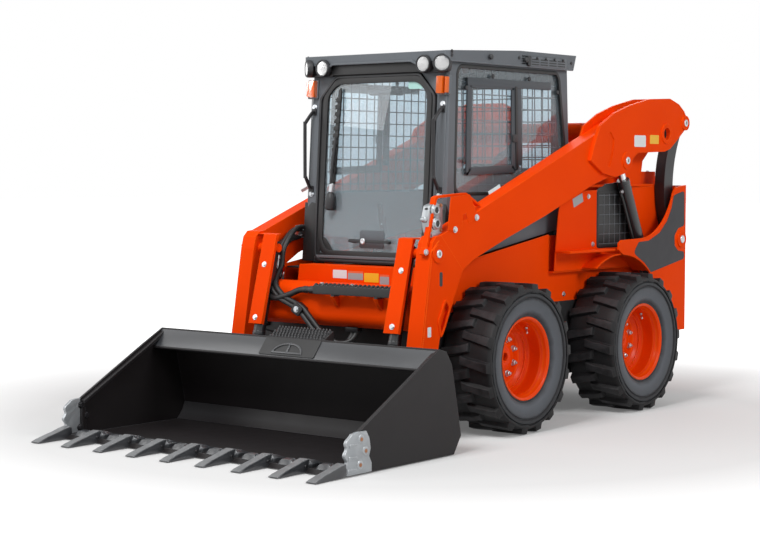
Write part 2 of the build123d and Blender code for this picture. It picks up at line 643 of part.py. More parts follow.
finish("lift_barrels", both_sides(barrel(LIFT_BASE, LIFT_EYE, LIFT_X, 38, 22, 800, 40, 30)))
finish("lift_rods", both_sides(rod(LIFT_BASE, LIFT_EYE, LIFT_X, 22, 60, 38, 26)))
finish("tilt_barrels", both_sides(barrel(TILT_BASE, TILT_EYE, TILT_X, 34, 19, 500, 38, 26)))
finish("tilt_rods", both_sides(rod(TILT_BASE, TILT_EYE, TILT_X, 19, 120, 28, 22)))

# ======== Bucket ========
BUCKET_WRAP = [(-1600, 5), (-894, 5), (-834, 95), (-913, 457), (-960, 527), (-1018, 542), (-1097, 443)]
BUCKET_HOLLOW = [(-1600, 17), (-900, 17), (-848, 97), (-925, 452), (-967, 515), (-1013, 528), (-1088, 436)]
BUCKET_SIDE = [(-1600, 5), (-894, 5), (-834, 95), (-913, 457), (-960, 527), (-1018, 542),
               (-1165, 465), (-1636, 204), (-1640, 40), (-1625, 25), (-1600, 25)]

with BuildPart() as bucket:
    with BuildSketch(Plane.YZ.offset(-BUCKET_HALF_W + 12)):
        with BuildLine():
            Polyline(*BUCKET_WRAP, *reversed(BUCKET_HOLLOW), close=True)
        make_face()
    extrude(amount=2 * (BUCKET_HALF_W - 12))
    for side in (1, -1):
        add(on_side(yz_plate(BUCKET_SIDE, BUCKET_HALF_W - 24, BUCKET_HALF_W - 12), side))
finish("bucket_shell", bucket.part)

with BuildPart() as cutting_edge:
    add(yz_plate([(-1770, 5), (-1745, 25), (-1600, 25), (-1600, 5)], -BUCKET_HALF_W + 12, BUCKET_HALF_W - 12))
finish("cutting_edge", cutting_edge.part)

with BuildPart() as teeth:
    for i in range(TOOTH_COUNT):
        x = (i - (TOOTH_COUNT - 1) / 2) * TOOTH_PITCH
        add(yz_plate([(-1960, 4), (-1800, 46), (-1680, 46), (-1680, 25), (-1745, 25), (-1770, 5), (-1790, 1)],
                     x - 25, x + 25))
    for side in (1, -1):
        add(on_side(block(BUCKET_HALF_W - 13, BUCKET_HALF_W + 20, -1742, -1500, 0, 300), side), mode=Mode.SUBTRACT)
finish("bucket_teeth", teeth.part)

with BuildPart() as side_cutters:
    for side in (1, -1):
        add(on_side(yz_plate([(-1740, 5), (-1735, 150), (-1700, 206), (-1560, 206), (-1553, 5)],
                             BUCKET_HALF_W - 12, BUCKET_HALF_W), side))
finish("side_cutters", side_cutters.part)


def behind_bucket(z, gap):
    """The (y, z) point a gap behind the bucket's back plate."""
    (y0, z0), (y1, z1) = BUCKET_WRAP[2], BUCKET_WRAP[3]
    return (y0 + (y1 - y0) * (z - z0) / (z1 - z0) + gap, z)


with BuildPart() as coupler:
    add(yz_plate([behind_bucket(120, 0), behind_bucket(420, 0), behind_bucket(420, 12), behind_bucket(120, 12)],
                 -566, 566))
    for side in (1, -1):
        add(on_side(block(TILT_X - 40, TILT_X + 40, -1000, -800, 300, 440), side), mode=Mode.SUBTRACT)
        add(on_side(yz_plate([behind_bucket(120, 12), (-700, 190), (-650, 225), (-650, 275), (-700, 315),
                              (-790, 400), behind_bucket(420, 12)], 548, 566), side))
        for x0 in (TILT_X - 42, TILT_X + 30):
            add(on_side(yz_plate([behind_bucket(160, 12), (-800, 170), (-755, 360), (-765, 405),
                                  (-795, 412), behind_bucket(405, 12)], x0, x0 + 12), side))
        add(on_side(yz_disc(BUCKET_PIN, 24.05, 540, 570), side), mode=Mode.SUBTRACT)
finish("quick_coupler", coupler.part)

os.makedirs("parts", exist_ok=True)
for name, part in nodes.items():
    export_step(part, f"parts/{name}.step")
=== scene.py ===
"""Finishes, fittings, studio light and camera for the skid steer loader.

The machine's own frame is used throughout: -Y is the front, +X the operator's left, +Z up, with the
origin on the floor below the middle of the machine. Sizes and places are written in millimetres, and
MM turns them into metres when a mesh is handed over. Each sub-assembly is a class: its sizes are
dataclass fields, and its build method makes the meshes, dresses them and hangs them on the moving
body that carries them.
"""

from __future__ import annotations

import json
import logging
import math
from dataclasses import dataclass
from enum import Enum
from typing import Iterable, Sequence

import bmesh
import bpy
from mathutils import Matrix, Quaternion, Vector

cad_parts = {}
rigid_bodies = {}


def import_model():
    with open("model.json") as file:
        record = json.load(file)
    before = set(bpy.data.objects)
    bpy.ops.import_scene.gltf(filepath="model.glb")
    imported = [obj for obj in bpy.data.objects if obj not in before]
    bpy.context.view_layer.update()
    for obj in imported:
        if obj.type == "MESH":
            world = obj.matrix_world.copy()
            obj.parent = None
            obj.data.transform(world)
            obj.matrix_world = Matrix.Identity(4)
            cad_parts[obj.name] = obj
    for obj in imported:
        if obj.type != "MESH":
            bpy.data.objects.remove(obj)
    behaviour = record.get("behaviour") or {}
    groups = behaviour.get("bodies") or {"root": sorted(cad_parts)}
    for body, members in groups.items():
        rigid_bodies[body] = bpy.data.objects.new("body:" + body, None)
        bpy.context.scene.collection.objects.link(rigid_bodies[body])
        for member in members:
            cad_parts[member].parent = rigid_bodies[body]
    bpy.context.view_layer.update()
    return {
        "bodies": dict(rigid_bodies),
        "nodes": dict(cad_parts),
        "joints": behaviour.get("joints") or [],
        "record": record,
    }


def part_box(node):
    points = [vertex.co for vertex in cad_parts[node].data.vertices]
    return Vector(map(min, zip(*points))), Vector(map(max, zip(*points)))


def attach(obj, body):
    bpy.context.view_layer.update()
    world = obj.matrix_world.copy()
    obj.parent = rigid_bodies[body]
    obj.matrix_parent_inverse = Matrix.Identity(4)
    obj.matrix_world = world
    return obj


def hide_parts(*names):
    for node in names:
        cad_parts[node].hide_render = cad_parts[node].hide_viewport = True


LOG = logging.getLogger("loader")
MM = 0.001
SIDES = {"left": 1, "right": -1}
HIGHLIGHT_FROM, HIGHLIGHT_TO, HIGHLIGHT_MOST = 0.995, 0.93, 0.75     # an edge gets its paler painted highlight as its normal's cosine falls
SHARP = math.radians(35)            # edges that turn by more than this stay sharp in the shading
BEVELLED = math.radians(32)         # edges that turn by more than this are rounded off
Point = Sequence[float]


class Body(Enum):
    """The moving bodies that carry fittings."""

    CHASSIS = "chassis"
    HOOD = "hood"
    REAR_DOOR = "rear_door"
    BOOM = "boom"
    LIFT_BARRELS = "lift_barrels"
    TILT_BARRELS = "tilt_barrels"
    BUCKET = "bucket"


# ---------------------------------------------------------------- finishes
def linear(hex_code: str) -> tuple[float, float, float, float]:
    """Turn an sRGB hex colour into the linear colour that a shader socket takes.

    Args:
        hex_code: The colour as "#RRGGBB".

    Returns:
        Linear red, green and blue, and an alpha of 1.
    """
    levels = [int(hex_code[i:i + 2], 16) / 255 for i in (1, 3, 5)]
    red, green, blue = (v / 12.92 if v <= 0.04045 else ((v + 0.055) / 1.055) ** 2.4 for v in levels)
    return red, green, blue, 1.0


def wire(tree: bpy.types.NodeTree, node: bpy.types.Node, inputs: dict) -> None:
    """Set or link a node's inputs.

    Args:
        tree: The tree that holds the node.
        node: The node.
        inputs: Values or output sockets, by the name or number of the input.
    """
    for key, value in inputs.items():
        if isinstance(value, bpy.types.NodeSocket):
            tree.links.new(value, node.inputs[key])
        else:
            node.inputs[key].default_value = value


def add_node(tree: bpy.types.NodeTree, kind: str, inputs: dict | None = None, **settings) -> bpy.types.Node:
    """Add a node, set its properties, and set or link its inputs.

    Args:
        tree: The tree that gets the node.
        kind: The node's type name.
        inputs: Values or output sockets, by the name or number of the input.
        **settings: The node's own properties.

    Returns:
        The new node.
    """
    node = tree.nodes.new(kind)
    for name, value in settings.items():
        setattr(node, name, value)
    wire(tree, node, inputs or {})
    return node


def new_surface(name: str) -> tuple[bpy.types.Material, bpy.types.NodeTree, bpy.types.Node,
                                    bpy.types.NodeSocket]:
    """Start a material.

    Args:
        name: The material's name.

    Returns:
        The material, its tree, its Principled shader and the socket of its object coordinates.
    """
    material = bpy.data.materials.new(name)
    material.use_nodes = True
    tree = material.node_tree
    place = add_node(tree, "ShaderNodeTexCoord").outputs["Object"]
    return material, tree, tree.nodes["Principled BSDF"], place


@dataclass(frozen=True)
class Finish:
    """A finish that is dressed on many pieces, and made once.

    Each one is a Principled surface with a slow drift of tone, a fine grain in the normal, rounded
    edges where two faces meet, and, where an edge colour is given, a paler painted highlight along them.
    """

    name: str
    colour: str
    shade: str
    roughness: float
    drift_mm: float = 400.0
    grain_mm: float = 2.0
    grain_depth_mm: float = 0.05
    edge_mm: float = 2.5
    # The colour of the painted highlight along the edges; none where it is empty.
    edge_highlight: str = ""
    metallic: float = 0.0
    coat: float = 0.0
    sheen: float = 0.0
    specular: float = 0.5

    def material(self) -> bpy.types.Material:
        """The finish as a material, made the first time that it is asked for."""
        return bpy.data.materials.get(self.name) or self.make()

    def tone(self, tree: bpy.types.NodeTree, place: bpy.types.NodeSocket) -> bpy.types.NodeSocket:
        """The colour before the painted edge highlight.

        Args:
            tree: The material's tree.
            place: Object coordinates.

        Returns:
            The socket that gives the colour.
        """
        drift = add_node(tree, "ShaderNodeTexNoise",
                         {"Vector": place, "Scale": 1 / (self.drift_mm * MM), "Detail": 4.0})
        return add_node(tree, "ShaderNodeMix",
                        {0: drift.outputs[0], 6: linear(self.colour), 7: linear(self.shade)},
                        data_type="RGBA").outputs[2]

    def make(self) -> bpy.types.Material:
        """Build the node tree.

        Returns:
            The new material.
        """
        material, tree, shader, place = new_surface(self.name)
        colour = self.tone(tree, place)
        edge = add_node(tree, "ShaderNodeBevel", {"Radius": self.edge_mm * MM}, samples=4)
        # Paint a paler highlight along the rounded edges, where the shading normal turns away from the
        # face's.
        if self.edge_highlight:
            flat = add_node(tree, "ShaderNodeNewGeometry").outputs["True Normal"]
            turn = add_node(tree, "ShaderNodeVectorMath", {0: edge.outputs[0], 1: flat},
                            operation="DOT_PRODUCT")
            edge_highlight_mask = add_node(tree, "ShaderNodeMapRange", {"Value": turn.outputs["Value"], "From Min": HIGHLIGHT_FROM,
                                                        "From Max": HIGHLIGHT_TO, "To Max": HIGHLIGHT_MOST})
            colour = add_node(tree, "ShaderNodeMix", {0: edge_highlight_mask.outputs[0], 6: colour, 7: linear(self.edge_highlight)},
                              data_type="RGBA").outputs[2]
        patch = add_node(tree, "ShaderNodeTexNoise",
                         {"Vector": place, "Scale": 6 / (self.drift_mm * MM), "Detail": 3.0})
        rough = add_node(tree, "ShaderNodeMapRange",
                         {"Value": patch.outputs[0], "To Min": self.roughness * 0.85,
                          "To Max": self.roughness * 1.15})
        grain = add_node(tree, "ShaderNodeTexNoise",
                         {"Vector": place, "Scale": 1 / (self.grain_mm * MM), "Detail": 2.0})
        bump = add_node(tree, "ShaderNodeBump",
                        {"Height": grain.outputs[0], "Distance": self.grain_depth_mm * MM,
                         "Strength": 0.6, "Normal": edge.outputs[0]})
        wire(tree, shader, {"Base Color": colour, "Roughness": rough.outputs[0], "Normal": bump.outputs[0],
                            "Metallic": self.metallic, "Coat Weight": self.coat, "Coat Roughness": 0.12,
                            "Sheen Weight": self.sheen, "Specular IOR Level": self.specular})
        return material


@dataclass(frozen=True)
class TyreRubber(Finish):
    """Carbon rubber of one wheel, toned by the distance from the axle.

    The bead stays black; the side wall carries a grey band, partly waxy bloom and partly a painted highlight,
    between dark rings of painted shade in its grooves and a paler painted highlight on its raised ring; the
    lug tops are paler, a painted highlight, than the tread between them, which is darkened as painted shade.
    """

    axle_y: float = 0.0
    axle_z: float = 408.0
    bead_radius: float = 210.0
    lug_radius: float = 412.0
    # By radius: 0.26 to 0.5 is partly bloom and partly a painted highlight; 0.6 and 0.76 are painted shade in
    # the wall's grooves; 0.68 is a painted highlight on the raised ring; 0.955 is painted shade on the tread
    # between the lugs; 0.99 is a painted highlight on the lug tops.
    bands: tuple = ((0.0, "#141315"), (0.12, "#2A2B2E"), (0.26, "#565A60"), (0.5, "#4A4D52"),
                    (0.6, "#1C1B1E"), (0.68, "#2E3033"), (0.76, "#121113"), (0.955, "#0F0E10"),
                    (0.99, "#2A292B"))

    def tone(self, tree: bpy.types.NodeTree, place: bpy.types.NodeSocket) -> bpy.types.NodeSocket:
        """The colour by radius, broken up by a drift.

        Args:
            tree: The material's tree.
            place: Object coordinates.

        Returns:
            The socket that gives the colour.
        """
        centred = add_node(tree, "ShaderNodeMapping",
                           {"Vector": place, "Location": (0, -self.axle_y * MM, -self.axle_z * MM),
                            "Scale": (0, 1, 1)})
        radius = add_node(tree, "ShaderNodeVectorMath", {0: centred.outputs[0]}, operation="LENGTH")
        drift = add_node(tree, "ShaderNodeTexNoise",
                         {"Vector": place, "Scale": 1 / (self.drift_mm * MM), "Detail": 5.0})
        wander = add_node(tree, "ShaderNodeMath", {0: drift.outputs[0], 1: 0.024, 2: -0.012},
                          operation="MULTIPLY_ADD")
        place_on_wall = add_node(tree, "ShaderNodeMath", {0: radius.outputs["Value"], 1: wander.outputs[0]})
        along = add_node(tree, "ShaderNodeMapRange", {"Value": place_on_wall.outputs[0],
                                                      "From Min": self.bead_radius * MM,
                                                      "From Max": self.lug_radius * MM})
        ramp = add_node(tree, "ShaderNodeValToRGB", {0: along.outputs[0]})
        stops = ramp.color_ramp.elements
        stops[0].color = linear(self.bands[0][1])
        stops[1].position = self.bands[-1][0]
        stops[1].color = linear(self.bands[-1][1])
        for position, colour in self.bands[1:-1]:
            stops.new(position).color = linear(colour)
        return ramp.outputs[0]


@dataclass(frozen=True)
class Glazing:
    """Glass or clear plastic, with a veil that can make it less clear, and so paler, towards its bottom."""

    name: str
    tint: str
    clear: float
    # How much less clear the glazing is at the bottom of its veil, which makes it paler there.
    low_veil: float = 0.0
    roughness: float = 0.0
    ior: float = 1.5
    veil_heights: tuple[float, float] = (1.05, 2.0)

    def material(self) -> bpy.types.Material:
        """The glazing as a material, made the first time that it is asked for."""
        return bpy.data.materials.get(self.name) or self.make()

    def make(self) -> bpy.types.Material:
        """Build the glazing.

        Returns:
            The new material.
        """
        material, tree, shader, place = new_surface(self.name)
        height = add_node(tree, "ShaderNodeSeparateXYZ", {0: place}).outputs["Z"]
        veil_noise = add_node(tree, "ShaderNodeTexNoise", {"Vector": place, "Scale": 3.0, "Detail": 3.0})
        level = add_node(tree, "ShaderNodeMath", {0: veil_noise.outputs[0], 1: 0.3, 2: height},
                         operation="MULTIPLY_ADD")
        # Less clear below the veil's heights, by the low veil, with a noisy edge.
        veil = add_node(tree, "ShaderNodeMapRange",
                        {"Value": level.outputs[0], "From Min": self.veil_heights[0], "From Max": self.veil_heights[1],
                         "To Min": self.clear - self.low_veil, "To Max": self.clear})
        wire(tree, shader, {"Transmission Weight": veil.outputs[0], "Base Color": linear(self.tint),
                            "Roughness": self.roughness, "IOR": self.ior})
        return material


# Powder coat over welded plate: even and satin, with a faint orange peel that softens reflections, and a
# paler painted highlight along its edges.
ORANGE = Finish("orange_powder_coat", "#F84A04", "#EA3F03", 0.45, grain_mm=3.0, edge_highlight="#FF7A22",
                specular=0.03)
# The same orange on the pressed rims, glossier, with the same painted highlight along its edges.
RIM_ORANGE = Finish("orange_rim_enamel", "#F54602", "#DC3A01", 0.26, edge_highlight="#FF7A22", specular=0.13)
# Textured grey coat on the cab's pressings: dull, slightly speckled, with a paler painted highlight along its
# edges.
CAB_GREY = Finish("grey_textured_coat", "#63686D", "#5A5E63", 0.5, grain_mm=1.5, edge_highlight="#8A8F94",
                  specular=0.35)
# Semi-gloss black enamel on the bucket: dark and dusty, with a paler painted highlight along its edges.
BUCKET_BLACK = Finish("bucket_enamel", "#181516", "#211E1F", 0.42, drift_mm=500, edge_highlight="#5C5E61",
                      specular=0.25)
# Semi-gloss black enamel on links and brackets, with a paler painted highlight along its edges.
BLACK = Finish("black_enamel", "#19181A", "#222123", 0.36, edge_highlight="#4A4B4E", specular=0.4)
# Black satin coat inside the frame, where dust dulls it.
FRAME_BLACK = Finish("black_satin_coat", "#161617", "#1F1F20", 0.6)
# Dark grey enamel of the cylinder barrels: glossy, with long highlights.
BARREL_GREY = Finish("barrel_enamel", "#26282B", "#1E2023", 0.3, coat=0.25)
# Cast steel, painted silver: bright, a little rough from the sand, with a paler painted highlight along its
# edges.
SILVER = Finish("silver_cast_steel", "#B4B8BB", "#8A8E92", 0.36, drift_mm=60, edge_highlight="#E4E6E7",
                metallic=0.6, grain_depth_mm=0.3)
# Zinc plated fasteners and fittings: bright, bluish white.
ZINC = Finish("zinc_plated_steel", "#D2D5D8", "#B4B8BC", 0.3, edge_mm=1.0, metallic=0.8)
# Hard chrome on cylinder rods: near mirror.
CHROME = Finish("hard_chrome", "#D9DBDD", "#CFD2D4", 0.1, metallic=1.0, grain_depth_mm=0.005)
# Forged steel on the teeth's top faces: grey partly from scouring by the ground and partly a painted
# highlight on their tops, with a paler painted highlight along its edges.
SCOURED_AND_HIGHLIT_STEEL = Finish("scoured_forged_steel", "#8A8C8E", "#5E5F61", 0.45, drift_mm=50, edge_highlight="#A2A4A5",
                     metallic=0.45, grain_depth_mm=0.4)
# Copper coloured coating of the cutters' bolts.
COPPER = Finish("copper_flashed_steel", "#B98463", "#9A6A4C", 0.4, edge_mm=1.0, metallic=0.7)
# Moulded black plastic: fine leather grain.
PLASTIC = Finish("moulded_black_plastic", "#1D1E20", "#26272A", 0.5, grain_mm=1.0, grain_depth_mm=0.12)
# Dark grey anodised window frames.
WINDOW_GREY = Finish("grey_anodised_frame", "#4A4F54", "#41454A", 0.45, edge_mm=1.5, specular=0.3)
# Dark grey steel of the lip's face and the tooth shanks, polished by the load; on the lip's face its pale
# grey is also a painted reflection of the light, and its edges carry a paler painted highlight.
WEAR_AND_SHEEN_GREY = Finish("worn_bucket_enamel", "#34363A", "#26272A", 0.3, drift_mm=300, edge_highlight="#7C7F83",
                    specular=0.8)
# Vinyl of the seat: soft grained black sheet.
VINYL = Finish("seat_vinyl", "#1E1F22", "#2A2B2F", 0.55, drift_mm=90.0, grain_mm=1.6,
               grain_depth_mm=0.25, sheen=0.2)
# Rubber of seals and hoses: dull black. The same black also lies as sheets in slots, bores, the visor's
# recess and behind the intake screens, as painted shade.
RUBBER_AND_SHADE_BLACK = Finish("seal_rubber", "#121213", "#1B1B1C", 0.5, edge_mm=1.0)
# Bare cast iron of the engine.
IRON = Finish("cast_iron", "#2B2B2D", "#3A3A3B", 0.7, grain_depth_mm=0.4)
# Dark vinyl film on the tower, with a soft shine.
DARK_FILM = Finish("dark_vinyl_film", "#242327", "#2B2A2E", 0.45, edge_mm=0.5, specular=0.25)
# Blank stickers: printed vinyl with a soft shine.
WHITE_FILM = Finish("white_vinyl_film", "#E4E5E6", "#D5D7D9", 0.4, edge_mm=0.4)
GREY_FILM = Finish("grey_vinyl_film", "#A7AAAC", "#8E9194", 0.4, edge_mm=0.4)
YELLOW_FILM = Finish("yellow_vinyl_film", "#F2B80C", "#E8AC08", 0.4, edge_mm=0.4)
RED_FILM = Finish("orange_vinyl_film", "#E8622C", "#DD5A26", 0.4, edge_mm=0.4)
GREEN_FILM = Finish("pale_green_film", "#A9D3CC", "#9CCAC3", 0.3, edge_mm=0.4)
# Rubber of each axle's tyres.
TYRES = {end: TyreRubber(f"{end}_tyre_rubber", "#232326", "#2E2F33", 0.58, drift_mm=55.0, grain_mm=3.0,
                         grain_depth_mm=0.35, edge_mm=3.0, specular=0.3, axle_y=axle_y)
         for end, axle_y in (("front", -65.0), ("rear", 1160.0))}
# Tinted safety glass of the cab: a cool grey cast under sharp reflections, paler and less clear towards its
# bottom.
CAB_GLASS = Glazing("tinted_safety_glass", "#DDEAF1", 0.93, low_veil=0.16)
# Polycarbonate lamp lens: clear, with a faint haze.
LENS = Glazing("clear_polycarbonate_lens", "#FFFFFF", 0.7, roughness=0.03)
# Amber acrylic of the indicators: deep and warm.
AMBER = Glazing("amber_acrylic", "#FC7010", 0.35, roughness=0.15)

NODES = {
    ORANGE: "front_panel engine_bay side_panels rear_towers tower_webs hood rear_door control_links "
            "boom_arms arm_legs boom_outer_plates boom_inner_plates boom_cross_members boom_guards",
    CAB_GREY: "cab_frame cab_roof boom_step", FRAME_BLACK: "chassis_frame cab_tub side_screens",
    BLACK: "grab_handles rear_links quick_coupler", BUCKET_BLACK: "bucket_shell cutting_edge",
    BARREL_GREY: "lift_barrels tilt_barrels", CHROME: "lift_rods tilt_rods", IRON: "engine_block",
    RUBBER_AND_SHADE_BLACK: "front_door", CAB_GLASS: "cab_glass", VINYL: "seat", PLASTIC: "consoles", LENS: "front_lamps",
    SCOURED_AND_HIGHLIT_STEEL: "bucket_teeth", SILVER: "side_cutters",
}
NODE_FINISHES = {name: finish for finish, names in NODES.items() for name in names.split()}


def dress(piece: bpy.types.Object, finish: Finish | Glazing) -> bpy.types.Object:
    """Give a piece one finish all over.

    Args:
        piece: A mesh object.
        finish: The finish that it gets.

    Returns:
        The same piece.
    """
    piece.data.materials.clear()
    piece.data.materials.append(finish.material())
    return piece


def dress_nodes(nodes: dict[str, bpy.types.Object]) -> None:
    """Give each constructed node its finish.

    Args:
        nodes: The constructed nodes by name.
    """
    for name, node in nodes.items():
        if name.startswith("tyre_"):
            dress(node, TYRES["front" if "front" in name else "rear"])
        elif name.startswith("rim_"):
            dress(node, ORANGE)
        else:
            dress(node, NODE_FINISHES[name])


# ---------------------------------------------------------------- shapes
@dataclass(frozen=True)
class Plane:
    """A drawing plane in millimetres: u runs along it, v up it, and depth along their cross product."""

    origin: Point
    u: Point
    v: Point

    def at(self, along: float, up: float, out: float = 0.0) -> Vector:
        """The point with the given drawing coordinates and depth."""
        u, v = Vector(self.u), Vector(self.v)
        return Vector(self.origin) + u * along + v * up + u.cross(v) * out

    def matrix(self) -> Matrix:
        """The turn and shift from drawing coordinates to the machine's frame.

        Returns:
            The matrix.
        """
        u, v = Vector(self.u), Vector(self.v)
        turn = Matrix((u, v, u.cross(v))).transposed().to_4x4()
        return Matrix.Translation(self.origin) @ turn


SIDE = Plane((0, 0, 0), (0, 1, 0), (0, 0, 1))       # drawn as (y, z), depth towards the left
FRONT = Plane((0, 0, 0), (1, 0, 0), (0, 0, 1))      # drawn as (x, z), depth towards the front
TOP = Plane((0, 0, 0), (1, 0, 0), (0, 1, 0))        # drawn as (x, y), depth upwards
DOOR_LEAN = math.atan2(70, 1105)                    # the cab's front leans back by this angle
DOOR_FOOT = 905                                     # height at which the door plane's v is nought
DOOR = Plane((0, -356, DOOR_FOOT), (1, 0, 0), (0, math.sin(DOOR_LEAN), math.cos(DOOR_LEAN)))
DOOR_OUT = DOOR.at(0, 0, 1) - DOOR.at(0, 0)         # the way that the door faces


def mirrored(plane: Plane) -> Plane:
    """The same plane on the other side of the machine, with its depth still pointing outwards."""
    flip = Matrix.Diagonal((-1, 1, 1))
    return Plane(tuple(flip @ Vector(plane.origin)), tuple(-(flip @ Vector(plane.u))),
                 tuple(flip @ Vector(plane.v)))


def rounded(outline: Sequence[Point], radius: float, steps: int = 5) -> list[tuple[float, float]]:
    """Round the corners of a closed outline.

    Args:
        outline: Corner points.
        radius: The largest corner radius, less where the sides are too short for it.
        steps: Points on each corner.

    Returns:
        The outline with an arc at each corner.
    """
    result: list[tuple[float, float]] = []
    count = len(outline)
    for i, corner in enumerate(outline):
        here = Vector(corner)
        before, after = Vector(outline[i - 1]) - here, Vector(outline[(i + 1) % count]) - here
        half = before.angle(after) / 2
        reach = min(radius / math.tan(half), before.length * 0.48, after.length * 0.48)
        start, end = here + before.normalized() * reach, here + after.normalized() * reach
        for k in range(steps):
            t = k / (steps - 1)
            bend = start.lerp(here, t).lerp(here.lerp(end, t), t)
            result.append((bend.x, bend.y))
    return result


def slab(low: Point, high: Point, radius: float) -> list[Point]:
    """The outline of a rectangle with rounded corners.

    Args:
        low: Its low corner.
        high: Its high corner.
        radius: The corners' radius.

    Returns:
        The outline.
    """
    return rounded(rectangle(low, high), radius)


def inset(outline: Sequence[Point], distance: float) -> list[tuple[float, float]]:
    """Draw a closed outline in by a distance, or out where the distance is negative.

    Args:
        outline: The outline's points.
        distance: How far each side moves towards the middle.

    Returns:
        The moved points.
    """
    points = [Vector(p) for p in outline]
    area = sum(a.x * b.y - b.x * a.y for a, b in zip(points, points[1:] + points[:1]))
    turn = math.copysign(1, area)
    result = []
    for i, here in enumerate(points):
        before = (here - points[i - 1]).normalized()
        after = (points[(i + 1) % len(points)] - here).normalized()
        normal = Vector((-before.y - after.y, before.x + after.x)) * turn
        length = normal.length or 1.0
        move = normal / length * distance / max(length / 2, 0.4)
        result.append((here.x + move.x, here.y + move.y))
    return result


def rectangle(low: Point, high: Point) -> list[tuple[float, float]]:
    """The four corners of an upright rectangle."""
    return [(low[0], low[1]), (high[0], low[1]), (high[0], high[1]), (low[0], high[1])]


def flowing(points: Sequence[Point], steps: int = 6) -> list[Vector]:
    """A smooth line through points.

    Args:
        points: The points that it passes through.
        steps: Stretches between two points.

    Returns:
        Points along the line.
    """
    knots = [Vector(p) for p in points]
    knots = [2 * knots[0] - knots[1], *knots, 2 * knots[-1] - knots[-2]]
    line = []
    for a, b, c, d in zip(knots, knots[1:], knots[2:], knots[3:]):
        for k in range(steps):
            t = k / steps
            line.append(0.5 * (2 * b + (c - a) * t + (2 * a - 5 * b + 4 * c - d) * t * t
                               + (3 * b - a - 3 * c + d) * t ** 3))
    return [*line, knots[-2]]


